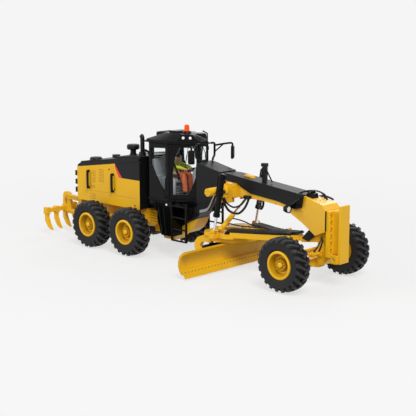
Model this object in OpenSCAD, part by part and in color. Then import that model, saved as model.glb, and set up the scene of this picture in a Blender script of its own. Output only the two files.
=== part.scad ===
// Die-cast 1:50 model of a motor grader, in millimetres at the model's own size.
// +X is forward, +Y is the machine's left, +Z is up, the floor is z = 0.
// Inside machine() and nose() x = 0 is the front axle.

/* [Wheels] */
// Front axle to the middle of the tandems
wheelbase = 126.9; // [122:0.1:132]
// Distance between the two rear axles
tandem_spread = 32.1; // [30:0.1:36]
// Tyre diameter over the lugs
tyre_d = 27; // [25:0.1:28]
// Tyre width over the sidewalls
tyre_w = 9.2; // [8:0.1:10]
// Outer diameter of the yellow rim
rim_d = 14; // [12:0.1:15]
// Depth of the tread lugs
lug_depth = 0.8; // [0.6:0.1:1.4]
// Lugs round one side of a tyre
lug_count = 20; // [14:1:22]
// Front wheel centre to centre
front_track = 48.6; // [47:0.1:52]
// Rear wheel centre to centre
rear_track = 47.5; // [46:0.1:52]

/* [Frame] */
// Width of the main frame beam
neck_w = 9; // [8:0.1:10]
// Thickness of the black skin on the beam
cover_t = 0.5; // [0.4:0.1:0.8]
// Height of the push plate
push_h = 28.3; // [24:0.1:30]
// Width of the push plate
push_w = 7; // [6:0.1:10]
// Diameter of the pin of the frame joint
hitch_pin_d = 3; // [2.4:0.1:4]

/* [Blade] */
// Length of the blade
blade_l = 84.6; // [70:0.1:90]
// Outer radius of the blade's curve
blade_r = 7.4; // [7:0.1:8]
// Blade thickness
blade_t = 1; // [0.8:0.1:1.4]
// Outer radius of the turning circle
circle_r = 15; // [13:0.1:15.5]
// Barrel diameter of the lift cylinders
barrel_d = 3; // [2.6:0.1:3.6]
// Rod diameter of the lift cylinders
rod_d = 1.4; // [1:0.1:1.8]

/* [Cab] */
// Cab width at the rear pillars
cab_w = 26; // [24:0.1:27]
// Width of the front screen
screen_w = 6.8; // [6:0.1:8]
// Cab wall thickness
wall_t = 1; // [0.8:0.1:1.4]
// Height of the cab walls
cab_h = 31.6; // [29:0.1:33]
// Thickness of the window glass
glass_t = 0.4; // [0.3:0.1:0.6]

/* [Hood] */
// Width of the engine hood
hood_w = 32; // [28:0.1:34]
// Length of the engine hood
hood_l = 53.1; // [48:0.1:56]
// Thickness of the black hood cover
lid_t = 2.4; // [1.6:0.1:3]

/* [Ripper] */
// Length of the ripper beam
ripper_w = 45; // [40:0.1:48]
// Distance between two shanks
shank_pitch = 7; // [6:0.1:8]

/* [Hidden] */
$fn = 48;
// Overall x of the front axle: the part's box is centred on x = 0
front_axle_x = 86.6;
seat_gap = 0.05;
pin_gap = 0.05;
eps = 0.01;

axle_z = tyre_d / 2;
tyre_r = tyre_d / 2;
rim_r = rim_d / 2;
front_y = front_track / 2;
rear_y = rear_track / 2;
// How far all behind the nose moves from the wheelbase that its positions are written for
rear_shift = 126.9 - wheelbase;
tandem_x = -wheelbase - rear_shift;
rear_x1 = tandem_x + tandem_spread / 2;
rear_x2 = tandem_x - tandem_spread / 2;
stub_r = 1.2;
neck_y = neck_w / 2;
kingpin_y = front_y - tyre_w / 2 - 2.1;
kingpin_r = 1;

// Pivot points of the joints, as [x, z] or [x, y]
hitch_x = -102;
ball_x = -6;
ball_z = 21.5;
// Radius of the pin on which the drawbar lifts
pivot_r = 0.7;
circle_x = -55;
lift_pin = [-49, 41.5];
lift_eye = [-53, 20.8];
lift_y = 16.5;
shift_top = [9, 36.5];
shift_eye = [-12, 21.6];
shift_x = -52;
arm_in = [-169, 13];
arm_run = [-14.5, 1.2];
link_rise = [-0.8, 9.2];

yellow = [0.87, 0.62, 0.07];
black = [0.05, 0.05, 0.055];
grey = [0.45, 0.48, 0.5];
chrome = [0.8, 0.8, 0.82];
rubber = [0.09, 0.09, 0.1];

// Front axle and head: x = 0 at the front axle
module nose() {
  translate([front_axle_x, 0, 0]) children();
}

// All that moves with the rear axles when the wheelbase changes
module machine() {
  translate([front_axle_x + rear_shift, 0, 0]) children();
}

// A place on the nose, as seen in machine()
function front(x) = x - rear_shift;

module both_sides() {
  children();
  mirror([0, 1, 0]) children();
}

// Box between two corners
module slab(a, b) {
  translate(a) cube(b - a);
}

// Outline in x and z, extruded over a range of y
module side_plate(points, y0, y1) {
  translate([0, y1, 0]) rotate([90, 0, 0]) linear_extrude(y1 - y0) polygon(points);
}

// Outline in x and y, extruded over a range of z
module plan_plate(points, z0, z1) {
  translate([0, 0, z0]) linear_extrude(z1 - z0) polygon(points);
}

// Cylinder along y
module bar_y(x, z, r, y0, y1) {
  translate([x, y0, z]) rotate([-90, 0, 0]) cylinder(r = r, h = y1 - y0);
}

// Cylinder between two points
module rod(p, q, r) {
  v = q - p;
  flat = norm([v[0], v[1]]);
  translate(p) rotate([0, atan2(flat, v[2]), atan2(v[1], v[0])]) cylinder(r = r, h = norm(v));
}

// Tube with ball joints through a list of points
module tube(points, r) {
  for (i = [0 : len(points) - 2]) rod(points[i], points[i + 1], r);
  for (i = [1 : len(points) - 2]) translate(points[i]) sphere(r = 1.05 * r, $fn = 24);
}

// Outline of a pad: two half circles and the box between them, in x and z
module pad(x0, z0, x1, z1, r, y0, y1) {
  v = [x1 - x0, z1 - z0];
  length = norm(v);
  translate([x0, y1, z0]) rotate([90, 0, 0]) rotate([0, 0, atan2(v[1], v[0])])
    linear_extrude(y1 - y0) {
      circle(r);
      translate([length, 0]) circle(r);
      translate([0, -r]) square([length, 2 * r]);
    }
}

// Main frame: head that widens to the front, neck, arch and hitch fork
head_y = 6.2;
head_plan = [[11, 6.06], [-3.5, 4.46], [-7, 4.4], [-7, -4.4], [-3.5, -4.46], [11, -6.06]];
head_line = [
  [10.2, 27.8], [10.2, 38.2], [8.4, 40.6], [-4, 43.5], [-5.8, 30.5], [3.6, 24.9]
];
// x at a share k of the neck between the lift saddle and the head
function along(k) = -44 + k * (front(-5.8) + 44);
neck_line = [
  [front(10.2), 27.8], [front(10.2), 38.2], [front(8.4), 40.6], [front(-4), 43.5], [-53, 49], [-64, 49], [-66, 36],
  [-76, 31], [-95.5, 31], [-95.5, 8], [-92, 11.2], [-84, 13.8], [-80, 16.6], [-78, 19.5], [-76, 23.8], [-72, 28.8],
  [-66, 33.4], [-56, 37], [-44, 38.2], [along(0.35), 38], [along(0.68), 36.7], [front(-5.8), 30.5], [front(3.6), 24.9]
];
fork_r = 4.2;
fork_low = [8, 11];
fork_high = [25, 28];

module fork_plate(z) {
  translate([0, 0, z[0]]) linear_extrude(z[1] - z[0]) difference() {
    union() {
      translate([hitch_x, 0]) circle(fork_r);
      translate([hitch_x, -fork_r]) square([-95 - hitch_x, 2 * fork_r]);
    }
    translate([hitch_x, 0]) circle(hitch_pin_d / 2 + pin_gap);
  }
}

module main_frame() {
  color(yellow) {
    machine() {
      side_plate(neck_line, -neck_y, neck_y);
      fork_plate(fork_low);
      fork_plate(fork_high);
    }
    nose() intersection() {
      side_plate(head_line, -head_y, head_y);
      plan_plate(head_plan, 20, 50);
    }
  }
}

// Black skin over the neck and the black housing in front of the cab
skin_line = [
  [front(-3.9), 44.1], [-53, 49.5], [-60, 49.6], [-60, 46.2], [-48, 45.2], [-43.5, 42.8], [along(0.14), 40.9],
  [along(0.63), 39], [front(-12), 37.2], [front(-5), 37.6]
];
house_line = [
  [-58.4, 50.1], [-60, 41], [-63.5, 34.8], [-67.5, 28.2], [-75.9, 25], [-75.9, 53.7], [-72, 53], [-62, 50.8]
];
house_y = 6.2;

module neck_cover() {
  inner_y = neck_y + seat_gap;
  color(black) machine() difference() {
    union() {
      side_plate(skin_line, -neck_y - cover_t, neck_y + cover_t);
      side_plate(house_line, -house_y, house_y);
    }
    side_plate(neck_line, -inner_y, inner_y);
    slab([-77, -inner_y, 20], [-61, inner_y, 35]);
  }
}

// Push plate, bolster plate and tow lugs on the front of the head
plate_x = 10.2;
plate_y = 5.4;
push_x = 17.7;
push_z = 12.5;

module push_block() {
  color(yellow) nose() {
    difference() {
      slab([plate_x + seat_gap, -plate_y, 15.4], [12.4, plate_y, 38]);
      for (i = [0 : 5]) both_sides() translate([11.4, 3.1, 17 + 3.5 * i]) cube([3, 1, 2.4]);
    }
    slab([12.4, -2.2, push_z + 4.2], [16.3, 2.2, 38]);
    slab([16.3, -push_w / 2, push_z], [push_x, push_w / 2, push_z + push_h]);
    both_sides() difference() {
      slab([12.4, 3.2, push_z], [16.3, 4.6, push_z + 4.2]);
      bar_y(14.4, push_z + 2.1, 0.9, 3, 5);
    }
  }
}

// Front axle beam with its pivot block and the kingpin yokes
beam_z = [axle_z - 4.2, axle_z - 0.4];
yoke_r = 1.7;
yoke_low = [axle_z - 4.6, axle_z - 3];
yoke_high = [axle_z + 3, axle_z + 4.6];

module yoke_plate(z) {
  translate([0, 0, z[0]]) linear_extrude(z[1] - z[0]) difference() {
    union() {
      translate([0, kingpin_y]) circle(yoke_r);
      translate([-yoke_r, kingpin_y - 4.2]) square([2 * yoke_r, 4.2]);
    }
    translate([0, kingpin_y]) circle(kingpin_r + pin_gap);
  }
}

// Pivot upright under the head, clevis of the drawbar, beam, lean bar and yokes
upright_line = [[3.6, 10.4], [3.6, 24.84], [10.15, 27.7], [10.15, 13.6], [7, 10.4]];
clevis_y = [1.65, 2.7];
clevis_end = [4.4, 23];
lean_z = axle_z + 3.9;

module front_axle() {
  color(yellow) nose() {
    slab([-2.4, -kingpin_y + 3.4, beam_z[0]], [2.4, kingpin_y - 3.4, beam_z[1]]);
    slab([-2, -2.6, beam_z[0] - 0.6], [4, 2.6, beam_z[1] + 0.4]);
    side_plate(upright_line, -2.8, 2.8);
    both_sides() pad(ball_x, ball_z, clevis_end[0], clevis_end[1], 1.5, clevis_y[0], clevis_y[1]);
    bar_y(ball_x, ball_z, pivot_r, -clevis_y[0] - 0.5, clevis_y[0] + 0.5);
    bar_y(0, lean_z, 0.7, -kingpin_y + 3.8, kingpin_y - 3.8);
    both_sides() {
      slab([-yoke_r - 0.2, kingpin_y - 4.3, yoke_low[0] - 0.1], [yoke_r + 0.2, kingpin_y - 3.4, yoke_high[1] + 0.1]);
      yoke_plate(yoke_low);
      yoke_plate(yoke_high);
    }
  }
}

// Black guards beside the drawbar's pivot
boot_line = [[-1.6, 26.8], [2.4, 24.7], [-2.1, 21], [-5.9, 22.3]];

module ball_boot() {
  color(black) nose() both_sides() side_plate(boot_line, clevis_y[1] + seat_gap, clevis_y[1] + 0.7);
}

// Steering knuckle on the left: kingpin, spindle and steering arm
arm_end = [-5.4, kingpin_y - 0.8];

module knuckle() {
  translate([0, kingpin_y, yoke_low[0]]) cylinder(r = kingpin_r, h = yoke_high[1] - yoke_low[0]);
  translate([0, kingpin_y, yoke_low[1] + pin_gap])
    cylinder(r = yoke_r, h = yoke_high[0] - yoke_low[1] - 2 * pin_gap);
  bar_y(0, axle_z, stub_r, kingpin_y, front_y + 1.4);
  translate([0, 0, axle_z - 0.8]) linear_extrude(1) {
    translate([arm_end[0], arm_end[1]]) circle(0.9);
    polygon([[0, kingpin_y - 1], [0, kingpin_y + 1], [arm_end[0], arm_end[1] + 0.9],
      [arm_end[0], arm_end[1] - 0.9]]);
  }
}

module knuckle_right() {
  color(yellow) nose() mirror([0, 1, 0]) knuckle();
}

module knuckle_left() {
  color(yellow) nose() knuckle();
}

module tie_rod() {
  tie_z = axle_z + 0.2 + pin_gap;
  color(yellow) nose() {
    bar_y(arm_end[0], tie_z + 0.6, 0.55, -arm_end[1], arm_end[1]);
    both_sides() translate([arm_end[0], arm_end[1], tie_z]) cylinder(r = 0.9, h = 1.2);
  }
}

// Wheel, its outer face to +Y, its centre at the origin
half_w = tyre_w / 2;
carcass_r = tyre_r - lug_depth;
// The lugs' flat tops end at the tyre's radius at their corners
lug_x = 1.6;
lug_root = 0.9;
lug_top = sqrt(tyre_r * tyre_r - lug_x * lug_x);

module tyre_shape() {
  rotate([-90, 0, 0]) rotate_extrude() polygon([
    [rim_r, -half_w + 1.1], [rim_r + 1.2, -half_w + 0.3], [rim_r + 2.8, -half_w], [carcass_r - 1.2, -half_w + 0.2],
    [carcass_r, -half_w + 1], [carcass_r, half_w - 1], [carcass_r - 1.2, half_w - 0.2],
    [rim_r + 2.8, half_w], [rim_r + 1.2, half_w - 0.3], [rim_r, half_w - 1.1]
  ]);
  for (side = [-1, 1]) for (i = [0 : lug_count - 1])
    rotate([0, (i + (side > 0 ? 0.5 : 0)) * 360 / lug_count, 0])
      translate([0, 0, carcass_r - lug_root]) linear_extrude(lug_top - carcass_r + lug_root) polygon([
        [-lug_x, side * (half_w - 0.05)], [0.4, side * (half_w - 0.05)], [lug_x, -side * 0.4], [-0.3, -side * 0.4]
      ]);
}

dish_y = 0.4;

module rim_shape() {
  face = half_w - 0.5;
  difference() {
    rotate([-90, 0, 0]) rotate_extrude() polygon([
      [0, -1.4], [stub_r + 1.6, -1.4], [stub_r + 1.6, -dish_y], [rim_r - 1.5, -dish_y], [rim_r - 1.5, 1 - half_w],
      [rim_r - seat_gap, 1 - half_w], [rim_r - seat_gap, face], [rim_r - 1.3, face], [rim_r - 1.5, face - 0.4],
      [rim_r - 1.9, dish_y + 0.6], [2.9, dish_y + 0.6], [2.7, dish_y + 1.8], [1.7, dish_y + 1.8], [1.5, dish_y + 2.6],
      [0, dish_y + 2.6]
    ]);
    bar_y(0, 0, stub_r + pin_gap, -2, 1.5);
  }
}

module wheel_place(x, y, side) {
  machine() translate([x, side * y, axle_z]) mirror([0, side < 0 ? 1 : 0, 0]) children();
}

module tyre_front_right() { color(rubber) wheel_place(front(0), front_y, -1) tyre_shape(); }
module tyre_front_left() { color(rubber) wheel_place(front(0), front_y, 1) tyre_shape(); }
module tyre_mid_right() { color(rubber) wheel_place(rear_x1, rear_y, -1) tyre_shape(); }
module tyre_mid_left() { color(rubber) wheel_place(rear_x1, rear_y, 1) tyre_shape(); }
module tyre_rear_right() { color(rubber) wheel_place(rear_x2, rear_y, -1) tyre_shape(); }
module tyre_rear_left() { color(rubber) wheel_place(rear_x2, rear_y, 1) tyre_shape(); }
module rim_front_right() { color(yellow) wheel_place(front(0), front_y, -1) rim_shape(); }
module rim_front_left() { color(yellow) wheel_place(front(0), front_y, 1) rim_shape(); }
module rim_mid_right() { color(yellow) wheel_place(rear_x1, rear_y, -1) rim_shape(); }
module rim_mid_left() { color(yellow) wheel_place(rear_x1, rear_y, 1) rim_shape(); }
module rim_rear_right() { color(yellow) wheel_place(rear_x2, rear_y, -1) rim_shape(); }
module rim_rear_left() { color(yellow) wheel_place(rear_x2, rear_y, 1) rim_shape(); }

// Saddle round the neck with the lift arms, and the lifting eye on the neck
saddle_x = -54.5;
saddle_z = 41.4;
saddle_y = neck_y + cover_t + 1.6;
eye_line = [[-46.2, 48.82], [-45.6, 49.6], [-41.2, 49.2], [-40.4, 48.18]];

module lift_saddle() {
  color(yellow) machine() {
    both_sides() {
      difference() {
        slab([-58.5, neck_y + seat_gap, 37.6], [-47.6, saddle_y, 44.8]);
        side_plate(skin_line, neck_y, neck_y + cover_t + seat_gap);
      }
      bar_y(saddle_x, saddle_z, 2.1, saddle_y - 0.2, 20);
      difference() {
        pad(saddle_x, saddle_z, lift_pin[0], lift_pin[1], 1.7, 11.6, 13.4);
        bar_y(lift_pin[0], lift_pin[1], 0.8 + pin_gap, 11, 14);
      }
      for (x = [shift_x - 2.2, shift_x + 1.2])
        slab([x, neck_y + seat_gap, shift_top[1] - 1.4], [x + 1, shift_top[0] + 1.4, 37.7]);
    }
    translate([shift_x - 1.6, shift_top[0], shift_top[1]]) rotate([0, 90, 0]) cylinder(r = 0.6, h = 3.2);
    side_plate(eye_line, -1.4, 1.4);
  }
}

// Lift cylinders, drawn along z about their trunnion and then tilted
lift_v = [lift_eye[0] - lift_pin[0], lift_eye[1] - lift_pin[1]];
lift_len = norm(lift_v);
lift_tilt = atan2(-lift_v[0], -lift_v[1]);
barrel_r = barrel_d / 2;
rod_r = rod_d / 2;
barrel_up = 9.6;
barrel_down = 13;

module lift_place() {
  machine() both_sides() translate([lift_pin[0], lift_y, lift_pin[1]]) rotate([0, lift_tilt, 0]) children();
}

module lift_barrels() {
  color(black) lift_place() {
    difference() {
      union() {
        translate([0, 0, -barrel_down]) cylinder(r = barrel_r, h = barrel_up + barrel_down);
        translate([0, 0, -1.6]) cylinder(r = barrel_r + 0.5, h = 3.2);
        translate([0, 0, -barrel_down]) cylinder(r = barrel_r + 0.3, h = 1.6);
        translate([0, 0, barrel_up - 1.4]) cylinder(r = barrel_r + 0.25, h = 1.2);
        slab([barrel_r - 0.6, -0.7, barrel_up - 4], [barrel_r + 0.8, 0.7, barrel_up - 2.4]);
      }
      translate([0, 0, -barrel_down - 1]) cylinder(r = rod_r + pin_gap, h = barrel_up + barrel_down - 1);
    }
    bar_y(0, 0, 0.8, 11.7 - lift_y, -rod_r - pin_gap - 0.2);
  }
}

module lift_rods() {
  color(chrome) lift_place() {
    translate([0, 0, -lift_len + 0.9]) cylinder(r = rod_r, h = lift_len - 2);
    difference() {
      bar_y(0, -lift_len, 1.2, -0.82, 0.82);
      bar_y(0, -lift_len, 0.6 + pin_gap, -1, 1);
    }
  }
}

// Centre-shift cylinder between the saddle and the drawbar, in a plane across the machine
shift_v = shift_eye - shift_top;
shift_len = norm(shift_v);
shift_tilt = atan2(shift_v[0], -shift_v[1]);

module shift_place() {
  machine() translate([shift_x, shift_top[0], shift_top[1]]) rotate([shift_tilt, 0, 0])
    mirror([0, 0, 1]) children();
}

// The barrel is on the drawbar's end and slides over the rod, which hangs from the saddle
shift_barrel_l = 11;

module shift_barrel() {
  color(yellow) shift_place() difference() {
    union() {
      translate([0, 0, shift_len - shift_barrel_l]) cylinder(r = 1.3, h = shift_barrel_l - 0.8);
      translate([-1.35, 0, shift_len]) rotate([0, 90, 0]) cylinder(r = 1.2, h = 2.5);
    }
    translate([0, 0, shift_len - shift_barrel_l - 1]) cylinder(r = rod_r + pin_gap, h = shift_barrel_l - 1);
  }
}

module shift_rod() {
  color(chrome) shift_place() difference() {
    union() {
      cylinder(r = rod_r, h = shift_len - shift_barrel_l + 4);
      translate([-1.1, 0, 0]) rotate([0, 90, 0]) cylinder(r = 1.3, h = 2.2);
    }
    translate([-2, 0, 0]) rotate([0, 90, 0]) cylinder(r = 0.6 + pin_gap, h = 4);
  }
}

// Drawbar: pivot eye, two legs that rise to the front, circle carrier plate and cylinder lugs
plate_z = [17.4, 19.4];
leg_h = 2.7;
leg_back = -45;
nose_x = front(ball_x);
leg_len = nose_x - leg_back;
leg_rise = atan2(2.45, leg_len);
leg_line = [
  [nose_x - 2.6, 1.7], [nose_x - 6, 4.4], [nose_x - 10, 7.4], [leg_back, 13.2],
  [leg_back, -13.2], [nose_x - 10, -7.4], [nose_x - 6, -4.4], [nose_x - 2.6, -1.7]
];
leg_window = [[nose_x - 13, 4.6], [leg_back + 2.4, 8.8], [leg_back + 2.4, -8.8], [nose_x - 13, -4.6]];
carrier_hole_r = circle_r / 3;
carrier_line = [
  [-43, -13], [-46, -15.6], [-61, -15.6], [-64, -12], [-64, 12], [-61, 15.6], [-46, 15.6], [-43, 13]
];

module drawbar() {
  color(yellow) machine() {
    difference() {
      union() {
        bar_y(nose_x, ball_z, 1.5, -clevis_y[0] + 0.1, clevis_y[0] - 0.1);
        rod([nose_x - 0.4, 0, ball_z], [nose_x - 4, 0, ball_z], 1);
        translate([leg_back, 0, plate_z[0] + 0.5]) rotate([0, -leg_rise, 0]) translate([-leg_back, 0, 0])
          linear_extrude(leg_h) polygon(leg_line);
        plan_plate(carrier_line, plate_z[0], plate_z[1]);
      }
      bar_y(nose_x, ball_z, pivot_r + pin_gap, -3, 3);
      plan_plate(leg_window, 15, 25);
      translate([circle_x, 0, 15]) cylinder(r = carrier_hole_r, h = 8);
    }
    both_sides() {
      slab([lift_eye[0] - 1.6, lift_y - 2.4, plate_z[0]], [lift_eye[0] + 1.6, lift_y + 2.4, plate_z[1]]);
      for (y = [lift_y - 1.9, lift_y + 0.9])
        pad(lift_eye[0], plate_z[1] - 0.6, lift_eye[0], lift_eye[1], 1.2, y, y + 1);
      for (y = [lift_y - 2.3, lift_y + 1.8]) bar_y(lift_eye[0], lift_eye[1], 0.8, y, y + 0.5);
    }
    slab([shift_x - 3.4, shift_eye[0] - 1.2, plate_z[1] - 0.5], [shift_x - 1.95, shift_eye[0] + 1.2, shift_eye[1] + 1]);
  }
}

// Five hoses side by side, bent together about one centre towards the circle drive, and their clamp
hose_r = 0.42;
hose_step = 1.05;
hose_bend = 24;
hose_centre = 10;
// From behind the pivot to the circle drive
hose_reach = leg_len - 11.1;
hose_runs = [0.394 * hose_reach, 0.605 * hose_reach];
clamp_half = [0.5, 2.9, 0.66];

module drawbar_hoses() {
  color(black) machine() translate([nose_x - 7, 0, 23.4]) rotate([0, -leg_rise - 0.15, 0]) {
    translate([-hose_runs[0], 0, 0]) cube(2 * clamp_half, center = true);
    for (i = [-2 : 2]) hose_line(hose_centre - i * hose_step);
  }
}

// One hose: a run in, the bend and a run out
module hose_line(bend_r) {
  translate([-hose_runs[0], hose_centre, 0]) rotate([0, 0, -90 - hose_bend]) {
    rotate_extrude(angle = hose_bend) translate([bend_r, 0]) circle(hose_r);
    rotate([0, 0, hose_bend]) translate([bend_r, 0, 0]) rotate([-90, 0, 0]) cylinder(r = hose_r, h = hose_runs[0]);
    translate([bend_r, 0, 0]) rotate([90, 0, 0]) cylinder(r = hose_r, h = hose_runs[1]);
  }
}

drive_x = -45.5;
drive_z = plate_z[0] + leg_h + 0.85;

module circle_drive() {
  color(yellow) machine() translate([drive_x, 0, drive_z]) {
    cylinder(r = 2.6, h = 1.1);
    translate([0, 0, 1]) cylinder(r = 1.8, h = 0.8);
  }
}

// Turning circle with a row of teeth inside and its two blade arms
ring_z = [14.9, 17.3];
tooth_count = 44;
arm_y = [12.6, 15];
arm_line = [
  [-57, 17.2], [-62.5, 17.2], [-66.5, 15.6], [-69, 12.6], [-68.6, 9], [-65.5, 6], [-60, 4.4], [-55.5, 4.2],
  [-55.5, 10.8], [-58.5, 10.8], [-60.5, 8.6], [-63.6, 8.8], [-65, 11], [-63.8, 13.2], [-61, 13.8], [-57, 13.8]
];

module turn_circle() {
  color(yellow) machine() {
    translate([circle_x, 0, ring_z[0]]) difference() {
      cylinder(r = circle_r, h = ring_z[1] - ring_z[0]);
      translate([0, 0, -1]) cylinder(r = circle_r - 3, h = 8);
      for (i = [0 : tooth_count - 1])
        rotate([0, 0, i * 360 / tooth_count]) translate([circle_r - 3, 0, -1]) cylinder(r = 0.5, h = 8);
    }
    both_sides() side_plate(arm_line, arm_y[0], arm_y[1]);
  }
}

// Side-shift cylinder: barrel on the circle, rod on the blade
slide_x = -57.3;
slide_z = 12.3;

module side_shift_barrel() {
  color(black) machine() difference() {
    union() {
      bar_y(slide_x, slide_z, 1.1, -20, 4);
      slab([slide_x - 1.1, -14.8, 10.85], [slide_x + 1.1, -12.8, 13.75]);
    }
    bar_y(slide_x, slide_z, 0.55 + pin_gap, -18, 5);
  }
}

module side_shift_rod() {
  color(chrome) machine() bar_y(slide_x, slide_z, 0.55, -6, 28);
}

// Blade: part of a ring in section, with two slide rails on its back
blade_c = [-46.3, 7.75];
blade_top = 14.5;
blade_cut = 2.4;
blade_y = blade_l / 2;

module blade_section() {
  intersection() {
    difference() {
      translate(blade_c) circle(blade_r);
      translate(blade_c) circle(blade_r - blade_t);
    }
    translate([-58, blade_cut]) square([9.1, blade_top - blade_cut]);
  }
}

module moldboard() {
  color(yellow) machine() {
    translate([0, blade_y, 0]) rotate([90, 0, 0]) linear_extrude(blade_l) blade_section();
    for (z = [4.6, 9.4]) slab([-55.2, -blade_y + 6, z], [-53, blade_y - 6, z + 1]);
    slab([slide_x - 1.2, 28, 9.4], [-53, 29.6, slide_z + 1.2]);
  }
}

module cutting_edge() {
  front = [[-50.8, 5], [-53, 5], [-51, blade_cut - seat_gap], [-48.99, blade_cut - seat_gap]];
  tip = [[-49.64, blade_cut - seat_gap], [-48.99, blade_cut - seat_gap], [-48, 0.9], [-48.7, 0.9]];
  color(grey) machine() translate([0, blade_y, 0]) rotate([90, 0, 0]) linear_extrude(blade_l) {
    intersection() {
      translate(blade_c) circle(blade_r - blade_t - seat_gap);
      polygon(front);
    }
    polygon(tip);
  }
}

// Cab: six-sided in plan, with angled doors
cab_y = cab_w / 2;
screen_y = screen_w / 2;
cab_back = -106.6;
cab_mid = -91;
cab_front = -76;
cab_z = 31.2;
cab_top = cab_z + cab_h;
door_v = [cab_front - cab_mid, cab_y - screen_y];
door_len = norm(door_v);
door_turn = atan2(door_v[1], door_v[0]);
corner = 0.8;

function cab_plan(g) = [
  [cab_back + g, cab_y - corner - 0.4 * g], [cab_back + corner + 0.4 * g, cab_y - g], [cab_mid - 0.3 * g, cab_y - g],
  [cab_front - g, screen_y - 0.55 * g], [cab_front - g, -screen_y + 0.55 * g], [cab_mid - 0.3 * g, -cab_y + g],
  [cab_back + corner + 0.4 * g, -cab_y + g], [cab_back + g, -cab_y + corner + 0.4 * g]
];
side_window = [
  [-103.7, cab_top - 3], [-93, cab_top - 2.4], [-92, 36], [-93.6, 36.4], [-97.2, 40.1], [-100.2, 44.6],
  [-104, 51], [-104.4, cab_top - 4.6]
];
door_window = [
  [2.8, 35.2], [door_len - 6.2, 35.2], [door_len - 2.4, 44.5], [door_len - 1.6, cab_top - 1.8],
  [7, cab_top - 1.8], [4.2, 55.5], [2.8, 47]
];
door_line = [
  [0.9, cab_z + 1.4], [door_len - 0.7, cab_z + 1.4], [door_len - 0.7, cab_top - 0.8], [0.9, cab_top - 0.8]
];
screen_window = [
  [-screen_y + 1, 54.4], [screen_y - 1, 54.4], [screen_y - 1, cab_top - 1.2], [-screen_y + 1, cab_top - 1.2]
];
back_window = [[-9, 54], [9, 54], [9, cab_top - 2], [-9, cab_top - 2]];

// Panels that fill the window openings, from depth a to depth b inside the wall
module side_panes(a, b) {
  both_sides() side_plate(side_window, cab_y - b, cab_y - a);
}

// Right and left door plane: x runs from the middle pillar to the front, y into the cab
module at_doors() {
  both_sides() translate([cab_mid, -cab_y, 0]) rotate([0, 0, door_turn]) children();
}

module door_panes(a, b) {
  at_doors() side_plate(door_window, a, b);
}

module end_panes(a, b) {
  translate([cab_front - b, 0, 0]) rotate([90, 0, 90]) linear_extrude(b - a) polygon(screen_window);
  translate([cab_back + a, 0, 0]) rotate([90, 0, 90]) linear_extrude(b - a) polygon(back_window);
}

module cab_shell() {
  color(black) machine() difference() {
    plan_plate(cab_plan(0), cab_z, cab_top);
    plan_plate(cab_plan(wall_t), cab_z + 1, cab_top + 1);
    side_panes(-1, wall_t + 1);
    at_doors() side_plate(door_line, -1, wall_t + 0.8);
    end_panes(-1, wall_t + 1);
  }
}

// Door leaves in the openings of the shell, each with its window and a handle bar
module cab_doors() {
  g = seat_gap;
  color(black) machine() at_doors() {
    difference() {
      slab([door_line[0][0] + g, 0, door_line[0][1] + g], [door_line[1][0] - g, wall_t, door_line[2][1] - g]);
      side_plate(door_window, -1, wall_t + 1);
    }
    slab([1.6, -0.5, 44.2], [2.2, 0.4, 50]);
  }
}

module cab_glass() {
  color([0.8, 0.88, 0.9, 0.3]) machine() {
    side_panes(0.3, 0.3 + glass_t);
    door_panes(0.3, 0.3 + glass_t);
    end_panes(0.3, 0.3 + glass_t);
  }
}

// Roof: a rim round the cab and a top that slopes to the sides and the rear, with lamp facets over the doors
roof_z = cab_top + seat_gap;
rim_z = roof_z + 0.8;
roof_top = roof_z + 5.35;
roof_back = cab_back - 3.3;
roof_plan = [
  [roof_back, cab_y - 0.4], [roof_back + 0.8, cab_y + 0.6], [cab_mid + 0.3, cab_y + 0.9], [cab_front + 0.9, screen_y + 0.5],
  [cab_front + 0.9, -screen_y - 0.5], [cab_mid + 0.3, -cab_y - 0.9], [roof_back + 0.8, -cab_y - 0.6], [roof_back, -cab_y + 0.4]
];
top_plan = [
  [roof_back - 1, cab_y], [cab_mid, cab_y], [cab_front, screen_y], [cab_front, -screen_y], [cab_mid, -cab_y], [roof_back - 1, -cab_y]
];
top_side = [
  [roof_back + 0.9, rim_z - 0.3], [roof_back + 11, roof_top], [cab_front - 0.8, roof_top],
  [cab_front + 0.4, rim_z + 1.6], [cab_front + 0.4, rim_z - 0.3]
];
top_end = [
  [-cab_y + 0.1, rim_z - 0.4], [-cab_y + 5, roof_top + 0.1], [cab_y - 5, roof_top + 0.1], [cab_y - 0.1, rim_z - 0.4]
];
lamp_r = 0.85;
lamp_s = [8.6, 12.5];
lamp_z = rim_z + 2.6;

module cab_roof() {
  color(black) machine() difference() {
    union() {
      plan_plate(roof_plan, roof_z, rim_z);
      intersection() {
        plan_plate(top_plan, rim_z - 0.2, roof_top + 1);
        side_plate(top_side, -cab_y, cab_y);
        translate([roof_back - 2, 0, 0]) rotate([90, 0, 90]) linear_extrude(cab_front - roof_back + 4) polygon(top_end);
      }
      slab([roof_back + 2, -5.2, rim_z - 0.3], [roof_back + 10.4, 5.2, roof_top - 0.2]);
    }
    at_doors() for (x = lamp_s) translate([x, -1, lamp_z]) rotate([-90, 0, 0]) cylinder(r = lamp_r, h = 1.5);
  }
}

// Lid of the roof unit, base of the beacon and the aerial on the rim
beacon_x = -89.2;
beacon_base = 0.8;

module roof_unit() {
  low = roof_top + seat_gap;
  color(black) machine() {
    side_plate([[-98.4, low], [-97.8, low + 0.9], [-92.2, low + 0.9], [-91.6, low]], -4.6, 4.6);
    translate([beacon_x, 0, low]) cylinder(r1 = 2.65, r2 = 2.2, h = beacon_base);
    tube([[cab_front + 0.5, 1.9, rim_z + seat_gap], [cab_front + 0.5, 1.9, 68.6], [cab_front - 2.8, 1.9, 69.8]], 0.35);
  }
}

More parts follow.
